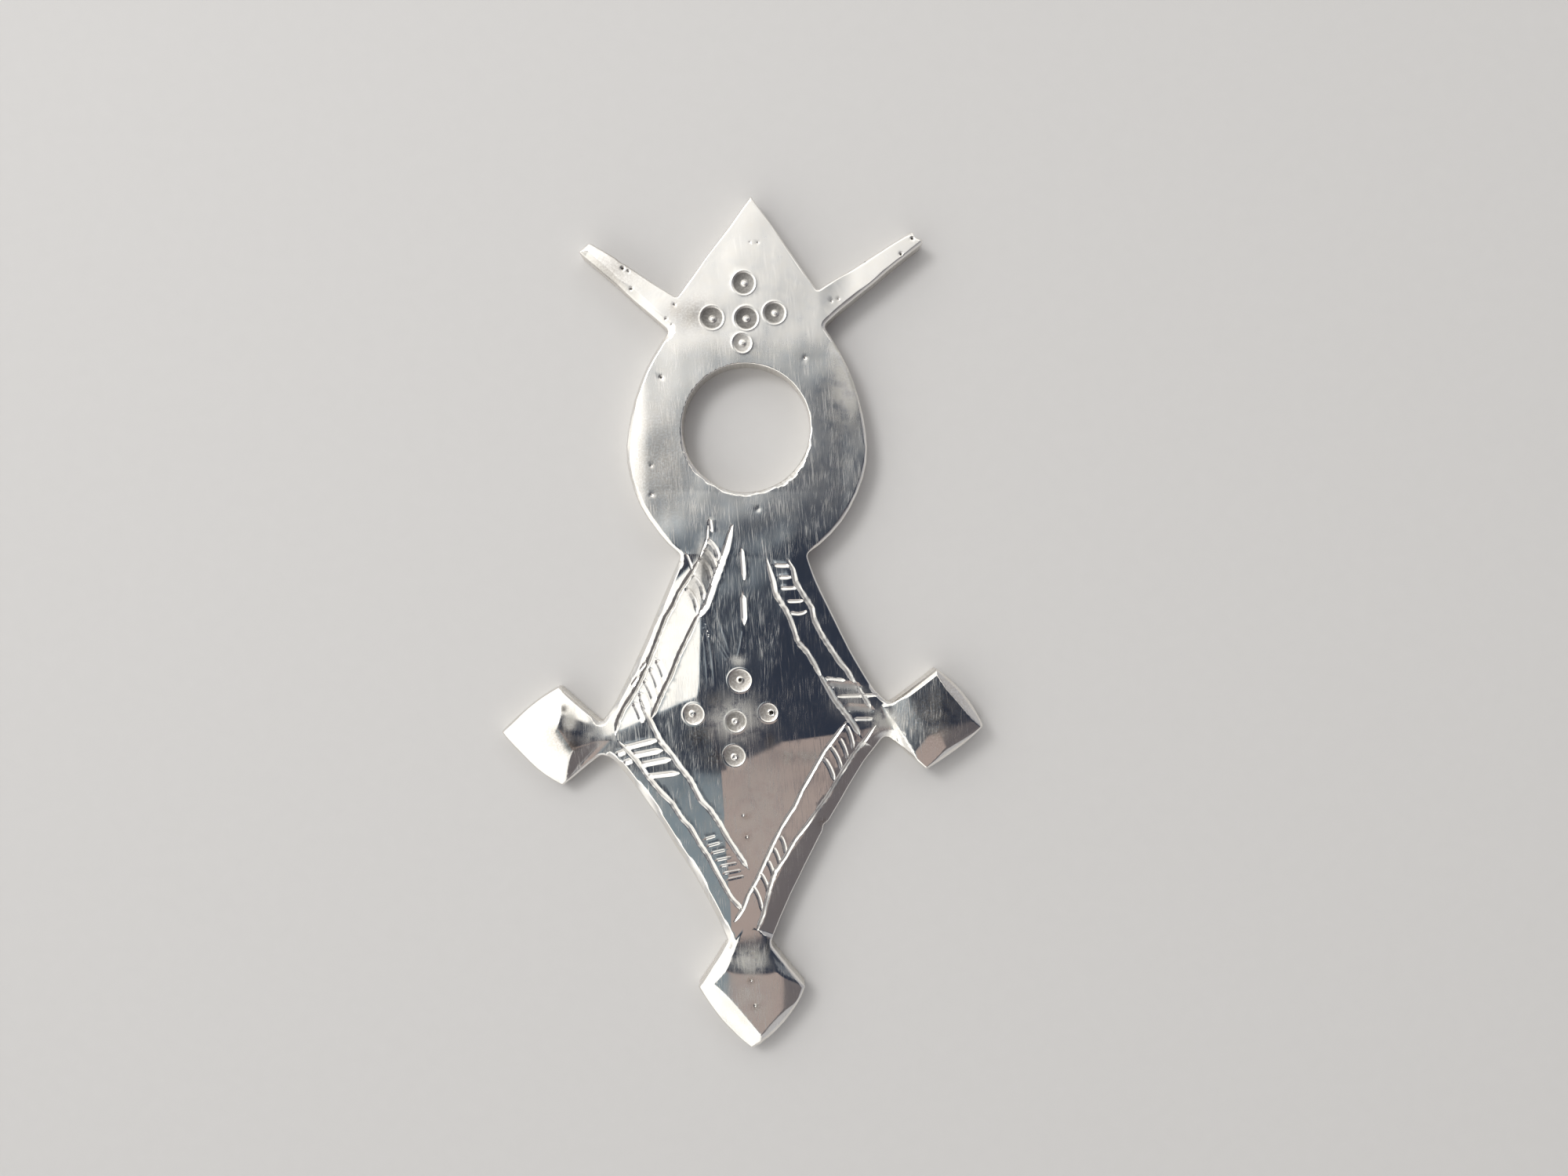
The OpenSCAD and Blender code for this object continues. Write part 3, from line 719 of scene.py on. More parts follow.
class Groove:
    """A groove along a bent line, with a floor that leans to one bank, and a low burr."""

    def __init__(self, points, width, depth, lean, oxide, ends, unsteady=0.0):
        self.points = np.array(points)
        self.unsteady = unsteady
        self.runs = np.diff(self.points, axis=0)
        self.lengths = np.linalg.norm(self.runs, axis=1)
        self.starts = np.concatenate([[0], np.cumsum(self.lengths)])
        self.half = width / 2
        self.depth = depth
        self.lean = np.broadcast_to(lean, len(points))
        self.oxide = oxide
        self.ends = ends

    def share(self, way):
        """Width and depth at some way along the line, against the middle's."""
        first, last = self.ends
        taper = np.clip(np.minimum(way / first, (self.starts[-1] - way) / last), 0, 1)
        drift = STROKE_DRIFT * np.sin(STROKE_DRIFT_PACE * way)
        strokes = np.sin(2 * math.pi * way / STROKE + drift)
        return taper**TAPER_POWER * (1 + self.unsteady * strokes)

    def near(self, places):
        """Numbers of the places that the groove can reach."""
        low, high = self.points.min(0) - self.half * 2, self.points.max(0) + self.half * 2
        return np.nonzero(((places > low) & (places < high)).all(1))[0]

    def line_place(self, places):
        """Way along the line and distance to the left of it, for the nearest stretch."""
        way = np.zeros(len(places))
        off = np.full(len(places), np.inf)
        for start, run, length, before in zip(self.points, self.runs, self.lengths, self.starts):
            gap = places - start
            t = np.clip(gap @ run / length**2, 0, 1)
            reach = np.hypot(*(gap - t[:, None] * run).T)
            side = np.where(gap[:, 1] * run[0] - gap[:, 0] * run[1] < 0, -1, 1)
            nearer = reach < np.abs(off)
            way = np.where(nearer, before + t * length, way)
            off = np.where(nearer, side * reach, off)
        return way, off

    def relief(self, places):
        """How deep the groove is, and how high its burr stands, at the places."""
        way, off = self.line_place(places)
        share = self.share(way)
        half = self.half * share + LEAST_HALF
        lean = np.interp(way, self.starts, self.lean)
        off_floor = off - lean * half
        flank = half * np.where(off_floor < 0, 1 + lean, 1 - lean)
        rounded = np.sqrt((off_floor / flank) ** 2 + FLOOR_ROUND)
        groove = self.depth * share * np.clip(BANK_TOP - rounded, 0, 1)
        burr = BURR_HEIGHT * share * hump(off, half * BURR_PLACE, BURR_WIDTH)
        return groove, burr

    def rows(self):
        """Places along and across the groove that its mesh needs."""
        steps = max(FEWEST_CUT_STEPS, round(self.starts[-1] / CUT_STEP))
        way = np.linspace(0, self.starts[-1], steps + 1)
        middle = np.stack([np.interp(way, self.starts, self.points[:, k]) for k in (0, 1)], axis=1)
        stretch = np.clip(np.searchsorted(self.starts, way) - 1, 0, len(self.runs) - 1)
        along = (self.runs / self.lengths[:, None])[stretch]
        side = np.stack([-along[:, 1], along[:, 0]], axis=1)
        half = self.half * np.maximum(self.share(way), LEAST_CUT_SHARE)
        floor = np.interp(way, self.starts, self.lean) * half
        banks = [floor]
        for gap in BANK_EDGE:
            banks += [half + gap, -half - gap]
        for k in BANK_ROWS:
            banks += [floor + (half - floor) * k, floor - (half + floor) * k]
        return np.concatenate([middle + off[:, None] * side for off in banks])


def all_grooves():
    """Every groove of the bands and the neck."""
    rng = np.random.default_rng(SEED)
    grooves = []
    for line in BAND_LINES:
        points = np.array(line.points) + rng.normal(0, LINE_ERROR, (len(line.points), 2))
        turns = np.where(np.arange(len(points)) % 2, 1, -1)
        rock = turns * rng.uniform(*ROCK_SHARES, len(points))
        lean = np.clip(line.lean + line.rock * rock, -STEEPEST_LEAN, STEEPEST_LEAN)
        cut = (line.width, line.depth, lean, line.oxide, LINE_ENDS, STROKE_SHARE)
        grooves.append(Groove(points, *cut))
    for bars in BARS:
        for start, end in bars.cuts:
            run = np.subtract(end, start)
            bow = np.array([-run[1], run[0]]) * bars.bow
            steps = np.linspace(0, 1, BAR_POINTS)
            points = [start + run * t + bow * 4 * t * (1 - t) for t in steps]
            width = bars.width * rng.uniform(*BAR_WIDTHS)
            depth = bars.depth * rng.uniform(*BAR_DEPTHS)
            ends = np.linalg.norm(run) * np.array(BAR_ENDS)
            grooves.append(Groove(points, width, depth, bars.lean, 0, ends))
    return grooves


def punch_reach(places, punch):
    """Distances of each place from a punch's middle and from its pip's."""
    pip_x, pip_y = punch.x + punch.pip_x, punch.y + punch.pip_y
    return reach_from(places, punch.x, punch.y), reach_from(places, pip_x, pip_y)


class Relief:
    """Height of the worn upper face at any place inside the outline."""

    def __init__(self, shape):
        self.plate = shape.plate_thickness / MM
        self.table = shape.table_height / MM
        self.rim = shape.body_rim / MM
        self.neck = shape.neck_height / MM
        self.hole_r = shape.hole_radius / MM
        self.edge_round = shape.edge_rounding / MM
        self.waviness = shape.waviness / MM
        self.outline, bevels = outline_curve(OUTLINE)
        self.bevel_ways, self.bevels, self.outline_length = eased_bevels(self.outline, bevels)
        self.grooves = all_grooves()
        self.wide_waves = Unevenness(SEED + 1, *WIDE_WAVES)
        self.file_waves = Unevenness(SEED + 2, *FILE_WAVES)
        self.bevel_waves = Unevenness(SEED + 3, *BEVEL_WAVES)
        self.chips = Unevenness(SEED + 4, *CHIP_WAVES)

    def body(self, p):
        """Height of the kite-shaped body, without its edge."""
        rise = self.table - self.rim
        run = (SPINE_FOOT_Y - p[:, 1]) / (SPINE_FOOT_Y - SPINE_TOP_Y)
        spine = self.neck + (self.table - self.neck) * run
        z = soft_min(np.full(len(p), self.table), spine, SOFT)
        for places in BODY_FACETS:
            x, y, share = np.array(places).T
            plane = np.linalg.solve(np.column_stack([x, y, np.ones(3)]), self.rim + rise * share)
            z = soft_min(z, p @ plane[:2] + plane[2], CRISP)
        return z

    def flat_plate(self, p):
        """Height of the head, horns and ring, without their edges."""
        x, y = p.T
        from_hole = np.hypot(x, y)
        fall = CROWN_FALL * ((from_hole - RING_MIDDLE) / RING_HALF) ** 2
        fall *= smooth_step(from_hole, *CROWN_ENDS)
        left = np.clip((LEFT_FALL_X - x) / LEFT_FALL_REACH, 0, 1)
        fall += LEFT_FALL * left**2 * smooth_step(y, *LEFT_FALL_ENDS)
        right = np.clip(x - RIGHT_FALL_X, 0, RIGHT_FALL_REACH)
        fall += RING_FALL * right**2 * smooth_step(y, *RIGHT_FALL_ENDS)
        on_horn = np.maximum(HORN_TILT_START - inside_line(p, *RIGHT_HORN_LINE), 0)
        fall += HORN_TILT * on_horn * smooth_step(x, *HORN_TILT_ENDS)
        rise = PLATE_RISE * np.clip(RISE_START_Y - y, 0, RISE_START_Y - PLATE_END_Y)
        past_end = np.maximum(PLATE_END_Y - y, 0)
        return self.plate - fall + rise - PLATE_END_FALL * past_end

    def finial(self, p, finial):
        """Height of one finial, which falls away steeply outside its own edges."""
        falls = [finial.peak_z - (p - place) @ np.array(fall) for place, fall in finial.gentle]
        z = falls[0]
        for fall in falls[1:]:
            z = soft_min(z, fall, SOFT)
        for steep in finial.steep:
            plane = steep.rim + steep.slope * inside_line(p, steep.start, steep.end)
            z = soft_min(z, plane, steep.blend)
        run = (p - np.array(finial.neck)) @ np.array(finial.neck_fall)
        return soft_min(z, finial.neck_z + run, SOFT)

    def edge(self, p, z):
        """Takes the filed bevel and the small rounding off the height along the outline."""
        distance, way = nearest_on_loop(p, self.outline)
        width, drop = (
            np.interp(way, self.bevel_ways, sizes, period=self.outline_length)
            for sizes in self.bevels.T
        )
        width = width * (1 + BEVEL_UNEVEN * self.bevel_waves.at(p))
        z = z + soft_min(np.zeros(len(p)), drop * (distance / width - 1), BEVEL_BLEND)
        return z - rounding(distance, self.edge_round)

    def hole_edge(self, p):
        """Depth of the chipped chamfer round the cord hole."""
        angle = np.degrees(np.arctan2(p[:, 1], p[:, 0]))
        from_middle = np.hypot(*p.T)
        distance = from_middle - self.hole_r
        turn = (CHAMFER_START - angle) % 360
        width = NARROW_CHAMFER + WIDER_CHAMFER * smooth_step(turn, *CHAMFER_WIDENS)
        width += BROAD_SPOT * hump(turn, BROAD_SPOT_TURN, BROAD_SPOT_REACH)
        width *= smooth_step(turn, *CHAMFER_SETS_IN) * smooth_step(turn, *CHAMFER_ENDS)
        on_circle = p / from_middle[:, None] * self.hole_r
        width *= 1 + CHIP_SHARE * self.chips.at(on_circle)
        chamfer = soft_max(np.zeros(len(p)), (width - distance) * CHAMFER_SLOPE, CHAMFER_BLEND)
        return chamfer + rounding(distance, HOLE_ROUND)

    def punch(self, p, punch):
        """Depth of the ring groove that one punch leaves round its pip."""
        reach, off_pip = punch_reach(p, punch)
        dish = 1 - np.clip(reach / punch.radius, 0, 1) ** DISH_POWER
        pip = PIP_SHARE * smooth_step(off_pip, PIP_FOOT, PIP_TOP)
        hole = punch.hole * smooth_step(off_pip, POINT_EDGE, POINT_FLOOR)
        lip = LIP_HEIGHT * hump(reach, punch.radius * LIP_PLACE, LIP_WIDTH)
        return punch.depth * dish * (1 - pip) + hole - lip

    def marks(self, p):
        """Depth of all cut, punched and pitted marks, depth of the grooves alone, and their oxide."""
        deepest = np.zeros(len(p))
        burrs = np.zeros(len(p))
        oxide = np.zeros(len(p))
        for groove in self.grooves:
            near = groove.near(p)
            deep, high = groove.relief(p[near])
            oxide[near] = np.where(deep > deepest[near], groove.oxide, oxide[near])
            deepest[near] = np.maximum(deepest[near], deep)
            burrs[near] = np.maximum(burrs[near], high)
        depth = deepest - burrs * (deepest < BURR_LIMIT)
        for punch in PUNCHES:
            near = np.nonzero(reach_from(p, punch.x, punch.y) < PUNCH_REACH)[0]
            depth[near] += self.punch(p[near], punch)
        for x, y, radius, pit_depth in PITS:
            spread = PIT_SPREAD * radius
            depth += pit_depth * spot(p, x, y, spread, spread)
        return depth, deepest, oxide

    def facets(self, p):
        """Height of the filed shape, without its edges and marks."""
        plate = np.where(p[:, 1] < PLATE_LAST_Y, 0, self.flat_plate(p))
        z = soft_max(self.body(p), plate, SOFT)
        for finial in FINIALS:
            near = np.nonzero(reach_from(p, *finial.peak) < FINIAL_REACH)[0]
            z[near] = soft_max(z[near], self.finial(p[near], finial), BLUNT)
        return z

    def bend(self, p):
        """How sharply the filed shape bends, so that its ridges can be found."""
        middle = self.facets(p) * 2
        bends = [
            np.abs(self.facets(p + step) + self.facets(p - step) - middle)
            for step in np.eye(2) * RIDGE_STEP
        ]
        return np.maximum(*bends) / RIDGE_STEP

    def height(self, p):
        """Height of the finished face."""
        z = self.facets(p)
        z = z + self.waviness * self.wide_waves.at(p)
        file_waves = self.file_waves.at(p * np.array(FILE_WAVE_STRETCH))
        z = z + self.waviness * FILE_WAVE_SHARE * file_waves
        z = self.edge(p, z) - self.hole_edge(p)
        return z - self.marks(p)[0]

    def back(self, p):
        """Height of the flat back with its rounded edges."""
        from_hole = np.hypot(*p.T) - self.hole_r
        distance = np.minimum(nearest_on_loop(p, self.outline)[0], from_hole)
        return rounding(distance, BACK_ROUND)


# The mesh


def spread_out(places, gap):
    """The places in their order, without those that are nearer than gap to an earlier one."""
    cells = {}
    kept = []
    around = [(i, j) for i in (-1, 0, 1) for j in (-1, 0, 1)]
    square = gap * gap
    for place, (column, row) in zip(places.tolist(), np.floor(places / gap).astype(int).tolist()):
        x, y = place
        others = (cells.get((column + i, row + j)) for i, j in around)
        if all(o is None or (o[0] - x) ** 2 + (o[1] - y) ** 2 > square for o in others):
            cells[column, row] = place
            kept.append(place)
    return np.array(kept)


def away_from(places, others, cell):
    """Places whose cell of a grid holds none of the others."""
    used = set(map(tuple, np.floor(others / cell).astype(int).tolist()))
    keys = map(tuple, np.floor(places / cell).astype(int).tolist())
    return places[[key not in used for key in keys]]


def edge_rows(loop, outward, rows):
    """Rows of places that follow a loop on its metal side."""
    places = np.concatenate([loop - outward * d for d in rows])
    wanted = np.repeat(rows, len(loop))
    distance, _ = nearest_on_loop(places, loop)
    return places[distance > wanted * ROW_SHARE]


def circle(x, y, radius, count, turn=0.0):
    """Even places on a circle, counterclockwise, the first at the angle turn."""
    angles = np.arange(count) * 2 * math.pi / count + turn
    return np.stack([x + radius * np.cos(angles), y + radius * np.sin(angles)], axis=1)


def punch_rows():
    """Rings of places over each punch mark."""
    places = []
    for punch in PUNCHES:
        for k in range(1, round(PUNCH_RINGS * punch.radius / PUNCH_STEP) + 2):
            radius = k * PUNCH_STEP
            count = max(FEWEST_IN_RING, round(2 * math.pi * radius / (PUNCH_STEP * RING_GAP)))
            places.append(circle(punch.x, punch.y, radius, count, 0.5 * (k % 2)))
    return np.concatenate(places)


def pit_rows():
    """Rings of places over each pit."""
    places = []
    for x, y, radius, _ in PITS:
        for share, count in PIT_RINGS:
            places.append(circle(x, y, radius * share, count, share))
    return np.concatenate(places)


def lattice(outline, step):
    """Even triangular grid of places over the outline's box."""
    low, high = outline.min(0), outline.max(0)
    rows = []
    for k, y in enumerate(np.arange(low[1], high[1], step * TRIANGLE_HEIGHT)):
        x = np.arange(low[0] + (k % 2) * step / 2, high[0], step)
        rows.append(np.column_stack([x, np.full(len(x), y)]))
    return np.concatenate(rows)


def clear_of(places, loops, gap):
    """Places inside the outline and outside the hole, by at least gap."""
    outline, hole = loops
    places = places[inside_loop(places, outline)]
    places = places[np.hypot(*places.T) > np.hypot(*hole[0]) + gap]
    return places[nearest_on_loop(places, outline)[0] > gap]


def areas(faces, places):
    """Area of each triangle, from the run of two of its sides."""
    a, b, c = places[faces].transpose(1, 0, 2)
    (ab_x, ab_y), (ac_x, ac_y) = (b - a).T, (c - a).T
    return np.abs(ab_x * ac_y - ab_y * ac_x) / 2


def without_strays(faces, places, borders):
    """Faces without the empty ones that Delaunay leaves along the outside of straight borders."""
    count = len(places)
    border_keys = np.sort(borders, axis=1) @ (count, 1)
    stray = np.zeros(len(faces), bool)
    while True:
        faces = faces[~stray]
        sides = np.sort(faces[:, [[0, 1], [1, 2], [2, 0]]], axis=2)
        keys, side, uses = np.unique(sides @ (count, 1), return_inverse=True, return_counts=True)
        wrong = uses != np.where(np.isin(keys, border_keys), 1, 2)
        if not wrong.any():
            return faces
        stray = wrong[side].reshape(-1, 3).any(1) & (areas(faces, places) < EMPTY_AREA)
        if not stray.any():
            raise RuntimeError("the face has a gap")


def triangles(loops, inner):
    """Triangles, counterclockwise, over the places of both loops and the inner ones."""
    places = np.concatenate([*loops, inner])
    edges = []
    first = 0
    for loop in loops:
        edges += [(first + i, first + (i + 1) % len(loop)) for i in range(len(loop))]
        first += len(loop)
    points = [Vector(p) for p in places]
    made, _, faces, *_ = delaunay_2d_cdt(points, edges, [], 1, SAME_POINT, False)
    if len(made) != len(places):
        raise RuntimeError("two places of the mesh are too near each other")
    faces = np.array(faces)
    middle = places[faces].mean(1)
    empty = areas(faces, places) < EMPTY_AREA
    faces = faces[(inside_loop(middle, loops[0]) | empty) & ~inside_loop(middle, loops[1])]
    return places, without_strays(faces, places, edges)


def hand_made(places):
    """Small sideways shifts that make every edge and line a little uneven, and its notches."""
    waves = [Unevenness(seed, *SHIFT_WAVES).at(places) for seed in SHIFT_SEEDS]
    shift = OUTLINE_ERROR * np.stack(waves, axis=1)
    for x, y, push_x, push_y, depth, width in NOTCHES:
        push = depth * np.array([push_x, push_y])
        shift += spot(places, x, y, width, width)[:, None] * push
    return shift


def level_normals(directions):
    """Flat directions as normals in space."""
    return np.column_stack([directions, np.zeros(len(directions))])


class Shell:
    """Closed skin of the cross: upper face, upright walls and back."""

    def __init__(self, relief, step):
        self.relief = relief
        self.places = []
        self.normals = []
        self.faces = []
        hole_count = round(2 * math.pi * relief.hole_r / LOOP_STEP)
        self.loops = (
            resampled(relief.outline, LOOP_STEP),
            circle(0, 0, relief.hole_r, hole_count),
        )
        self.outward = tuple(loop_normals(loop) for loop in self.loops)
        self.add_face(self.upper_places(step), relief.height, 1)
        self.back_first = len(self.places[0])
        self.add_face(self.back_places(), relief.back, -1)
        self.add_walls()

    def add(self, places, normals, faces=None):
        """Adds vertices and the faces between them, and gives the number of the first vertex."""
        first = sum(len(p) for p in self.places)
        self.places.append(places)
        self.normals.append(normals)
        if faces is not None:
            self.faces.append(faces + first)
        return first

    def upper_places(self, step):
        """Places of the upper face: fine along edges, cuts and punches, coarser between them."""
        fine = [groove.rows() for groove in self.relief.grooves]
        fine += [punch_rows(), pit_rows()]
        for loop, outward, rows in zip(self.loops, self.outward, (EDGE_ROWS, HOLE_ROWS)):
            fine.append(edge_rows(loop, outward, rows))
        fine = clear_of(np.concatenate(fine), self.loops, EDGE_ROWS[0] * FIRST_ROW_SHARE)
        fine = spread_out(fine, SAME_PLACE)
        ridges = clear_of(lattice(self.loops[0], RIDGE_STEP), self.loops, EDGE_ROWS[-1])
        ridges = away_from(ridges[self.relief.bend(ridges) > RIDGE_BEND], fine, RIDGE_STEP)
        fine = np.concatenate([fine, ridges])
        coarse = clear_of(lattice(self.loops[0], step), self.loops, step)
        return np.concatenate([fine, away_from(coarse, fine, step * COARSE_GAP)])

    def back_places(self):
        """Places of the back, with rows for its rounded edges."""
        rows = [edge_rows(loop, out, BACK_ROWS) for loop, out in zip(self.loops, self.outward)]
        fine = clear_of(np.concatenate(rows), self.loops, BACK_ROWS[0] * FIRST_ROW_SHARE)
        fine = spread_out(fine, SAME_PLACE)
        coarse = clear_of(lattice(self.loops[0], BACK_STEP), self.loops, BACK_STEP * BACK_GAP)
        return np.concatenate([fine, coarse])

    def add_face(self, inner, height, up):
        """Adds a face over both loops and the inner places. up is 1 for the upper face."""
        flat, faces = triangles(self.loops, inner)
        ends = sum(len(loop) for loop in self.loops)
        slopes = []
        for axis in np.eye(2) * SLOPE_STEP:
            rise = height(flat[ends:] + axis) - height(flat[ends:] - axis)
            slopes.append(rise / (2 * SLOPE_STEP))
        inner_normals = up * np.stack([-slopes[0], -slopes[1], np.ones(len(inner))], axis=1)
        normals = np.concatenate([level_normals(np.concatenate(self.outward)), inner_normals])
        places = np.column_stack([flat, height(flat)])
        self.add(places, normals, faces[:, ::up])

    def add_walls(self):
        """Walls from the upper face's loops down to the back's."""
        top_first, back_first = 0, self.back_first
        upper, back = self.places[:2]
        for loop, outward in zip(self.loops, self.outward):
            count = len(loop)
            high = upper[top_first : top_first + count, 2]
            low = back[top_first : top_first + count, 2]
            rows = [top_first]
            for k in range(1, WALL_ROWS):
                height = high + (low - high) * k / WALL_ROWS
                rows.append(self.add(np.column_stack([loop, height]), level_normals(outward)))
            rows.append(back_first)
            here = np.arange(count)
            after = (here + 1) % count
            for top, foot in zip(rows, rows[1:]):
                self.faces.append(np.stack([top + here, top + after, foot + after], axis=1))
                self.faces.append(np.stack([top + here, foot + after, foot + here], axis=1))
            top_first += count
            back_first += count


def file_direction(places):
    """Coordinates across and along the file marks: along Y, but across the horns."""
    across, along = places[:, 0].copy(), places[:, 1].copy()
    for start, tip in (LEFT_HORN_LINE, RIGHT_HORN_LINE):
        run = np.subtract(tip, start)
        run = run / np.linalg.norm(run)
        gap = places[:, :2] - start
        horn = gap @ run > 0
        across[horn] = (gap @ run)[horn]
        along[horn] = (gap @ (-run[1], run[0]))[horn]
    return across, along


def surface_masks(relief, places, upper):
    """Shares of oxide, brown stain, matte wear and grey film for each vertex, with painted light on
    the ring's upper right in the brown and film.
    """
    flat = places[:, :2]
    _, groove, tarnish = relief.marks(flat)
    cut = smooth_step(groove, *CUT_DEPTHS)
    oxide = (CUT_OXIDE + tarnish) * cut
    brown = np.zeros(len(places))
    film = np.zeros(len(places))
    matte = CUT_MATTE * cut
    matte = np.maximum(matte, RING_MATTE * smooth_step(flat[:, 1], *RING_MATTE_ENDS))
    matte = np.maximum(matte, HEAD_MATTE * smooth_step(flat[:, 1], *HEAD_MATTE_ENDS))
    for punch in PUNCHES:
        reach, off_pip = punch_reach(flat, punch)
        dish = smooth_step(reach, punch.radius, punch.radius * DISH_MASK_EDGE)
        dish *= 1 - PIP_CLEAN * smooth_step(off_pip, *PIP_MASK)
        oxide = np.maximum(oxide, punch.oxide * dish)
        matte = np.maximum(matte, dish)
        if punch.y < 0:
            brown = np.maximum(brown, PUNCH_BROWN * dish)
        if punch.hole > DARK_POINT:
            oxide = np.maximum(oxide, smooth_step(off_pip, *POINT_MASK))
    for x, y, radius, depth in PITS:
        spread = PIT_OXIDE_SPREAD * radius
        strength = min(1, depth * OXIDE_BY_PIT_DEPTH)
        oxide = np.maximum(oxide, strength * spot(flat, x, y, spread, spread))
    masks = (oxide, brown, matte, film)
    # The table also holds patches of painted light, which go into the brown and film
    for x, y, radius_x, radius_y, *strengths in STAINS_AND_PAINTED_LIGHT:
        stain = spot(flat, x, y, radius_x, radius_y)
        for mask, strength in zip(masks, strengths):
            np.maximum(mask, strength * stain, out=mask)
    return [np.where(upper, mask, plain) for mask, plain in zip(masks, PLAIN_MASKS)]


def make_mesh(name, shell):
    """Blender mesh of the shell, in metres, with its normals, masks and file directions."""
    places = np.concatenate(shell.places)
    normals = np.concatenate(shell.normals)
    faces = np.concatenate(shell.faces)
    upper = np.arange(len(places)) < shell.back_first
    masks = surface_masks(shell.relief, places, upper)
    across, along = file_direction(places)
    places = places.copy()
    places[:, :2] += hand_made(places[:, :2])
    mesh = bpy.data.meshes.new(name)
    mesh.vertices.add(len(places))
    mesh.vertices.foreach_set("co", (places * MM).ravel())
    mesh.loops.add(faces.size)
    mesh.loops.foreach_set("vertex_index", faces.ravel())
    mesh.polygons.add(len(faces))
    mesh.polygons.foreach_set("loop_start", np.arange(len(faces)) * 3)
    mesh.update(calc_edges=True)
    mesh.validate()
    mesh.shade_smooth()
    for label, values in zip(MASKS, masks):
        layer = mesh.attributes.new(label, "FLOAT", "POINT")
        layer.data.foreach_set("value", values)
    marks = mesh.uv_layers.new(name="file_marks")
    pairs = np.stack([across, along], axis=1)[faces.ravel()]
    marks.data.foreach_set("uv", pairs.ravel())
    mesh.normals_split_custom_set_from_vertices(normals)
    return mesh


# Materials


# Layers of file hairlines: width, length and turn, in millimetres and radians. Then how close
# their patches are, and the fineness of the clouds and the speckle, each per millimetre
HAIRLINES = ((0.06, 1.6, 0.03), (0.045, 1.1, -0.12), (0.1, 2.4, 0.1))
HAIR_PATCHES = 0.9
CLOUD_SCALE = 1.1
SPECKLE_SCALE = 7.0
# Values of the noise between which hairlines, their patches, brown stains and grey film show,
# and between which matte wear turns dull
HAIR_ENDS = (0.5, 0.72)
PATCH_ENDS = (0.35, 0.65)
STAIN_ENDS = (0.3, 0.6)
FILM_ENDS = (0.5, 0.72)
DULL_ENDS = (-0.5, 0.7)
# Speckle in the blotches of the film and in the oxide, and values between which oxide turns dark
FILM_SPECKLE = 0.3
OXIDE_SPECKLE = 0.2
OXIDE_ENDS = (0.12, 1)
# Roughness that matte wear, hairlines and oxide add to the polish
DULL_ROUGH = 0.4
HAIR_ROUGH = 0.2
OXIDE_ROUGH = 0.15
# Grain of the paper: how many to the metre, how dark, how rough and how deep
GRAIN_SCALE = 900.0
GRAIN_DARK = 0.97
PAPER_ROUGH = 0.9
GRAIN_STRENGTH = 0.3
GRAIN_DEPTH = 0.03 * MM
# Numbers of the colour sockets of a Mix node: its share and two colours, and its result
MIX_INPUTS = (0, 6, 7)
MIX_RESULT = 2


def feed(tree, socket, value):
    """Sets a socket to a plain value, or links it to another socket."""
    if isinstance(value, (int, float, tuple)):
        socket.default_value = value
    else:
        tree.links.new(value, socket)


def add_node(tree, kind, **values):
    """Node with some of its settings or inputs given by name."""
    node = tree.nodes.new(kind)
    for key, value in values.items():
        if key in node.inputs.keys():
            feed(tree, node.inputs[key], value)
        else:
            setattr(node, key, value)
    return node


def math_node(tree, operation, *values):
    """Result of a Math node for numbers or sockets."""
    node = add_node(tree, "ShaderNodeMath", operation=operation)
    for socket, value in zip(node.inputs, values):
        feed(tree, socket, value)
    return node.outputs[0]


def ramp(tree, value, low, high):
    """Smooth step of a value from 0 at low to 1 at high."""
    node = add_node(tree, "ShaderNodeMapRange", interpolation_type="SMOOTHSTEP", Value=value)
    node.inputs["From Min"].default_value = low
    node.inputs["From Max"].default_value = high
    return node.outputs["Result"]


def mix_colour(tree, share, a, b):
    """Colour between a and b, by a share that goes from 0 to 1."""
    node = add_node(tree, "ShaderNodeMix", data_type="RGBA")
    for k, value in zip(MIX_INPUTS, (share, a, b)):
        feed(tree, node.inputs[k], value)
    return node.outputs[MIX_RESULT]


def noise(tree, place, scale, detail=2.0):
    """Noise of some fineness at a place."""
    node = add_node(tree, "ShaderNodeTexNoise", Vector=place, Scale=scale, Detail=detail)
    return node.outputs["Fac"]


def mapped(tree, place, **values):
    """Place as measured in a frame that is moved, turned or stretched."""
    node = add_node(tree, "ShaderNodeMapping", vector_type="TEXTURE", Vector=place, **values)
    return node.outputs["Vector"]


def file_marks(tree, place):
    """Hairlines that a fine file leaves: long and thin, nearly along V, in patches."""
    marks = None
    for width, length, angle in HAIRLINES:
        turn = (0, 0, angle)
        hairs = noise(tree, mapped(tree, place, Rotation=turn, Scale=(width, length, 1)), 1.0)
        drawn_out = mapped(tree, place, Rotation=turn, Scale=(1, 2, 1))
        patches = noise(tree, drawn_out, HAIR_PATCHES)
        shares = ramp(tree, hairs, *HAIR_ENDS), ramp(tree, patches, *PATCH_ENDS)
        layer = math_node(tree, "MULTIPLY", *shares)
        marks = layer if marks is None else math_node(tree, "MAXIMUM", marks, layer)
    return marks


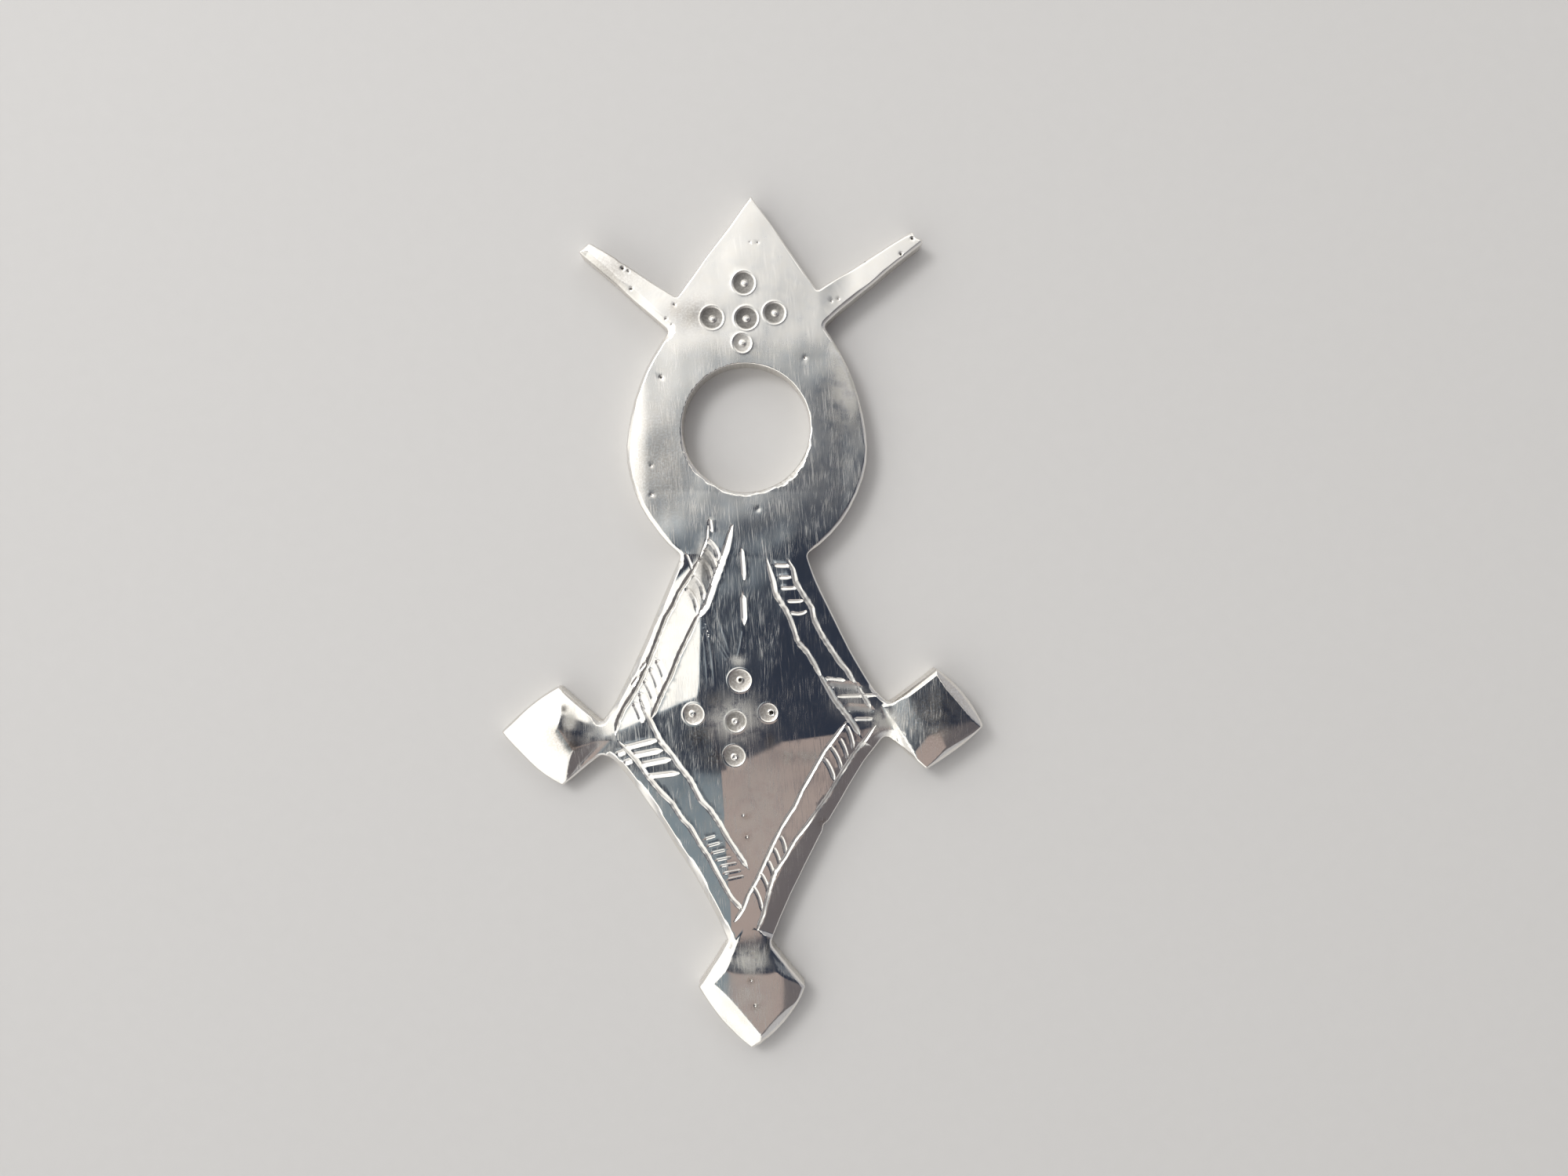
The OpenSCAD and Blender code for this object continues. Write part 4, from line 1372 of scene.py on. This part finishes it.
def silver_material(finish):
    """Worn silver: file hairlines, dark oxide in the marks, brown stains and a grey film, whose brown
    and film also paint light onto the ring's upper right.
    """
    material = bpy.data.materials.new("worn_silver")
    material.use_nodes = True
    tree = material.node_tree
    shader = tree.nodes["Principled BSDF"]
    place = add_node(tree, "ShaderNodeUVMap", uv_map="file_marks").outputs["UV"]
    oxide, brown, matte, film = (
        add_node(tree, "ShaderNodeAttribute", attribute_name=label).outputs["Fac"]
        for label in MASKS
    )
    cloud = noise(tree, place, CLOUD_SCALE, detail=5.0)
    speckle = noise(tree, place, SPECKLE_SCALE, detail=3.0)

    # The brown and film shares also paint light onto the ring's upper right
    stained = math_node(tree, "MULTIPLY", brown, ramp(tree, speckle, *STAIN_ENDS))
    blotches = math_node(tree, "ADD", cloud, math_node(tree, "MULTIPLY", speckle, FILM_SPECKLE))
    filmed = math_node(tree, "MULTIPLY", film, ramp(tree, blotches, *FILM_ENDS))
    dark = math_node(tree, "ADD", oxide, math_node(tree, "MULTIPLY", speckle, OXIDE_SPECKLE))
    dark = ramp(tree, dark, *OXIDE_ENDS)
    tone = mix_colour(tree, cloud, tuple(finish.silver), tuple(finish.warm_silver))
    for share, colour in ((stained, finish.stain), (filmed, finish.film), (dark, finish.oxide)):
        tone = mix_colour(tree, share, tone, tuple(colour))
    feed(tree, shader.inputs["Base Color"], tone)
    feed(tree, shader.inputs["Metallic"], math_node(tree, "SUBTRACT", 1, filmed))

    glossy = math_node(tree, "SUBTRACT", 1, matte)
    hairs = math_node(tree, "MULTIPLY", file_marks(tree, place), glossy)
    dull = math_node(tree, "MULTIPLY", matte, ramp(tree, cloud, *DULL_ENDS))
    rough = finish.roughness
    for share, strength in ((dull, DULL_ROUGH), (hairs, HAIR_ROUGH), (dark, OXIDE_ROUGH)):
        rough = math_node(tree, "ADD", math_node(tree, "MULTIPLY", share, strength), rough)
    feed(tree, shader.inputs["Roughness"], rough)
    depth = finish.hairline_depth
    bump = add_node(tree, "ShaderNodeBump", Strength=1.0, Distance=depth, Height=hairs)
    feed(tree, shader.inputs["Normal"], bump.outputs["Normal"])
    return material


def floor_material(look):
    """Plain pale paper with a faint grain."""
    material = bpy.data.materials.new("pale_paper")
    material.use_nodes = True
    tree = material.node_tree
    shader = tree.nodes["Principled BSDF"]
    place = add_node(tree, "ShaderNodeTexCoord").outputs["Object"]
    grain = noise(tree, place, GRAIN_SCALE, detail=3.0)
    low = tuple(c * GRAIN_DARK for c in look.floor[:3]) + (1,)
    feed(tree, shader.inputs["Base Color"], mix_colour(tree, grain, low, tuple(look.floor)))
    feed(tree, shader.inputs["Roughness"], PAPER_ROUGH)
    bump = add_node(
        tree, "ShaderNodeBump", Strength=GRAIN_STRENGTH, Distance=GRAIN_DEPTH, Height=grain
    )
    feed(tree, shader.inputs["Normal"], bump.outputs["Normal"])
    return material


# The stage

# Soft panels overhead, which the silver reflects, in the order in which they cover each other.
# Columns: middle as tangents from the zenith along X and Y, half length and half width, turn in
# degrees from X, softness, colour
Panel = namedtuple("Panel", "x y half_x half_y turn soft colour")
SKY_PANELS = [
    Panel(0.95, -0.2, 0.55, 0.9, 0, 0.25, (0.2, 0.2, 0.22)),
    Panel(0.35, -0.07, 0.62, 0.466, 42, 0.03, (0.25, 0.3, 0.345)),
    Panel(0.34, -0.1, 0.62, 0.416, 42, 0.035, (0.02, 0.026, 0.042)),
    Panel(-0.38, -0.47, 0.26, 0.2, 0, 0.05, (0.16, 0.2, 0.23)),
    Panel(0.9, -0.9, 0.7, 0.68, 0, 0.06, (0.105, 0.096, 0.103)),
    Panel(0.08, -0.44, 0.22, 0.24, 0, 0.03, (0.29, 0.24, 0.226)),
    Panel(0.3, 1.15, 0.9, 0.6, 0, 0.1, (1, 0.985, 0.95)),
]
# X of a direction between which the sky turns from its left to its right colour, and Z between
# which the horizon fades out
SIDE_ENDS = (-0.7, 0.8)
HORIZON_ENDS = (0, 0.35)
# Least height of a direction whose tangents are taken
LEAST_UP = 0.02
SENSOR_WIDTH = 36
CLIP_START = 5 * MM
LAMP_SIZE = 0.12
LAMP_PLACE = (-0.16, 0.12, 0.26)


def sky(look):
    """World light: a bright soft sky, dimmer at the horizon, with dark panels near the zenith."""
    world = bpy.data.worlds.new("studio_sky")
    world.use_nodes = True
    tree = world.node_tree
    background = tree.nodes["Background"]
    way = add_node(tree, "ShaderNodeTexCoord").outputs["Generated"]
    split = add_node(tree, "ShaderNodeSeparateXYZ", Vector=way)
    side = ramp(tree, split.outputs["X"], *SIDE_ENDS)
    colour = mix_colour(tree, side, tuple(look.bright_sky), tuple(look.side_sky))
    above = ramp(tree, split.outputs["Z"], *HORIZON_ENDS)
    colour = mix_colour(tree, above, tuple(look.horizon), colour)
    up = math_node(tree, "MAXIMUM", split.outputs["Z"], LEAST_UP)
    slant = add_node(tree, "ShaderNodeCombineXYZ")
    for axis in "XY":
        feed(tree, slant.inputs[axis], math_node(tree, "DIVIDE", split.outputs[axis], up))
    for panel in SKY_PANELS:
        turn = (0, 0, math.radians(panel.turn))
        middle = (panel.x, panel.y, 0)
        place = mapped(tree, slant.outputs["Vector"], Location=middle, Rotation=turn)
        parts = add_node(tree, "ShaderNodeSeparateXYZ", Vector=place)
        shares = []
        for axis, half in (("X", panel.half_x), ("Y", panel.half_y)):
            off = math_node(tree, "ABSOLUTE", parts.outputs[axis])
            shares.append(ramp(tree, off, half + panel.soft, half - panel.soft))
        share = math_node(tree, "MULTIPLY", *shares)
        colour = mix_colour(tree, share, colour, panel.colour + (1,))
    feed(tree, background.inputs["Color"], colour)
    feed(tree, background.inputs["Strength"], look.sky_strength)
    return world


def place_camera(look):
    """Camera straight above the pendant, as it was photographed."""
    data = bpy.data.cameras.new("camera")
    data.sensor_width = SENSOR_WIDTH
    data.lens = look.lens
    data.clip_start = CLIP_START
    camera = bpy.data.objects.new("camera", data)
    camera.location = (look.camera_x, look.camera_y, look.camera_height)
    bpy.context.scene.collection.objects.link(camera)
    bpy.context.scene.camera = camera


def place_floor(look):
    """Square of paper under the pendant."""
    mesh = bpy.data.meshes.new("floor")
    half = look.floor_size / 2
    corners = [(-half, -half, 0), (half, -half, 0), (half, half, 0), (-half, half, 0)]
    mesh.from_pydata(corners, [], [(0, 1, 2, 3)])
    floor = bpy.data.objects.new("floor", mesh)
    mesh.materials.append(floor_material(look))
    bpy.context.scene.collection.objects.link(floor)


def place_lamp(look):
    """Large soft lamp up to the left, for the shadows' direction."""
    data = bpy.data.lights.new("soft_lamp", "AREA")
    data.shape = "DISK"
    data.size = LAMP_SIZE
    data.energy = look.lamp_power
    lamp = bpy.data.objects.new("soft_lamp", data)
    lamp.location = LAMP_PLACE
    lamp.rotation_euler = (-lamp.location).to_track_quat("-Z", "Y").to_euler()
    bpy.context.scene.collection.objects.link(lamp)


# Settings


def length_setting(name, description, default, **more):
    """Setting that holds a length in metres."""
    return FloatProperty(
        name=name, description=description, default=default, unit="LENGTH", **more
    )


def colour_setting(name, description, default):
    """Setting that holds a colour, given as its red, green and blue."""
    return FloatVectorProperty(
        name=name, description=description, default=(*default, 1), size=4, subtype="COLOR"
    )


class PendantShape(bpy.types.PropertyGroup):
    """Sizes of the pendant."""

    plate_thickness: length_setting(
        "Plate thickness",
        "Thickness of the head, the horns and the ring",
        HOLE["dims"]["length_mm"] * MM,
    )
    hole_radius: length_setting(
        "Hole radius", "Radius of the cord hole", HOLE["dims"]["r_mm"] * MM
    )
    table_height: length_setting(
        "Table height", "Thickness at the flat table in the middle of the body", CAD_HIGH.z
    )
    body_rim: length_setting(
        "Body rim", "Thickness of the body where its facets meet its edge bevel", 1.75 * MM
    )
    neck_height: length_setting(
        "Neck height", "Thickness where the body runs out onto the ring", 1.98 * MM
    )
    edge_rounding: length_setting(
        "Edge rounding", "Radius of the worn rounding along the outline", 0.1 * MM
    )
    waviness: length_setting(
        "Waviness", "Height of the slow waves that hand filing leaves", 0.012 * MM
    )
    mesh_step: length_setting(
        "Mesh step", "Distance between mesh points on plain stretches of the face", 0.27 * MM
    )


class SilverFinish(bpy.types.PropertyGroup):
    """Colours and gloss of the silver."""

    silver: colour_setting("Silver", "Colour of clean silver", (0.9, 0.89, 0.87))
    warm_silver: colour_setting(
        "Warm silver", "Colour of silver with a first faint tarnish", (0.86, 0.82, 0.75)
    )
    oxide: colour_setting(
        "Oxide", "Colour of the dark oxide in punched marks and pits", (0.07, 0.065, 0.06)
    )
    # The stain and film colours also paint light onto the ring's upper right
    stain: colour_setting("Stain", "Colour of the brown stains", (0.35, 0.25, 0.17))
    film: colour_setting("Film", "Colour of the dull grey tarnish film", (0.3, 0.31, 0.27))
    roughness: FloatProperty(
        name="Roughness",
        description="Mean roughness of the polished face",
        default=0.1,
        min=0,
        max=1,
    )
    hairline_depth: length_setting(
        "Hairline depth", "Depth of the fine file marks", 0.0005 * MM, precision=6
    )


class StageLook(bpy.types.PropertyGroup):
    """Camera, floor and light."""

    camera_x: length_setting(
        "Camera X", "Place of the camera to the right of the cord hole", 2.68 * MM
    )
    camera_y: length_setting("Camera Y", "Place of the camera towards the head", -11.23 * MM)
    camera_height: length_setting(
        "Camera height", "Height of the camera over the floor", 88.8 * MM
    )
    lens: FloatProperty(
        name="Lens",
        description="Focal length for a sensor 36 mm wide",
        default=28.53,
        unit="CAMERA",
    )
    floor: colour_setting("Floor", "Colour of the paper under the pendant", (0.62, 0.61, 0.6))
    floor_size: length_setting("Floor size", "Side of the square floor", 1.2)
    bright_sky: colour_setting("Bright sky", "Colour of the sky on the left", (1, 0.985, 0.95))
    side_sky: colour_setting("Side sky", "Colour of the sky on the right", (0.28, 0.28, 0.3))
    horizon: colour_setting("Horizon", "Colour of the sky just over the floor", (0.4, 0.4, 0.41))
    sky_strength: FloatProperty(
        name="Sky strength", description="Brightness of the sky", default=1.43, min=0
    )
    lamp_power: FloatProperty(
        name="Lamp power", description="Power of the soft lamp in watts", default=0.35, min=0
    )


# Operators and panel


class PENDANT_OT_silver_cross(bpy.types.Operator):
    """Build the silver cross with its engraved bands and punched rings"""

    bl_idname = "pendant.silver_cross"
    bl_label = "Silver cross"

    def execute(self, context):
        scene = context.scene
        relief = Relief(scene.pendant_shape)
        shell = Shell(relief, scene.pendant_shape.mesh_step / MM)
        cross = bpy.data.objects.new("silver_cross", make_mesh("silver_cross", shell))
        scene.collection.objects.link(cross)
        cross.data.materials.append(silver_material(scene.silver_finish))
        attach(cross, "root")
        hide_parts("cross")
        return {"FINISHED"}


class PENDANT_OT_stage(bpy.types.Operator):
    """Set up the pale floor, the soft light and the camera"""

    bl_idname = "pendant.stage"
    bl_label = "Stage"

    def execute(self, context):
        look = context.scene.stage_look
        place_floor(look)
        place_lamp(look)
        place_camera(look)
        context.scene.world = sky(look)
        context.scene.view_settings.view_transform = "Standard"
        return {"FINISHED"}


class PENDANT_PT_panel(bpy.types.Panel):
    """Lists the pendant's operators and settings"""

    bl_idname = "PENDANT_PT_panel"
    bl_label = "Southern cross pendant"
    bl_space_type = "VIEW_3D"
    bl_region_type = "UI"
    bl_category = "Pendant"

    def draw(self, context):
        layout = self.layout
        for name in OPERATORS:
            layout.operator(name)
        for group in SETTINGS:
            box = layout.box()
            settings = getattr(context.scene, group)
            for key in settings.__annotations__:
                box.prop(settings, key)


OPERATORS = ("pendant.silver_cross", "pendant.stage")
SETTINGS = {
    "pendant_shape": PendantShape,
    "silver_finish": SilverFinish,
    "stage_look": StageLook,
}
CLASSES = (*SETTINGS.values(), PENDANT_OT_silver_cross, PENDANT_OT_stage, PENDANT_PT_panel)


def register():
    for cls in CLASSES:
        bpy.utils.register_class(cls)
    for name, cls in SETTINGS.items():
        setattr(bpy.types.Scene, name, PointerProperty(type=cls))


def unregister():
    for name in SETTINGS:
        delattr(bpy.types.Scene, name)
    for cls in reversed(CLASSES):
        bpy.utils.unregister_class(cls)


def main():
    register()
    bpy.ops.pendant.silver_cross()
    bpy.ops.pendant.stage()


if __name__ == "__main__":
    main()
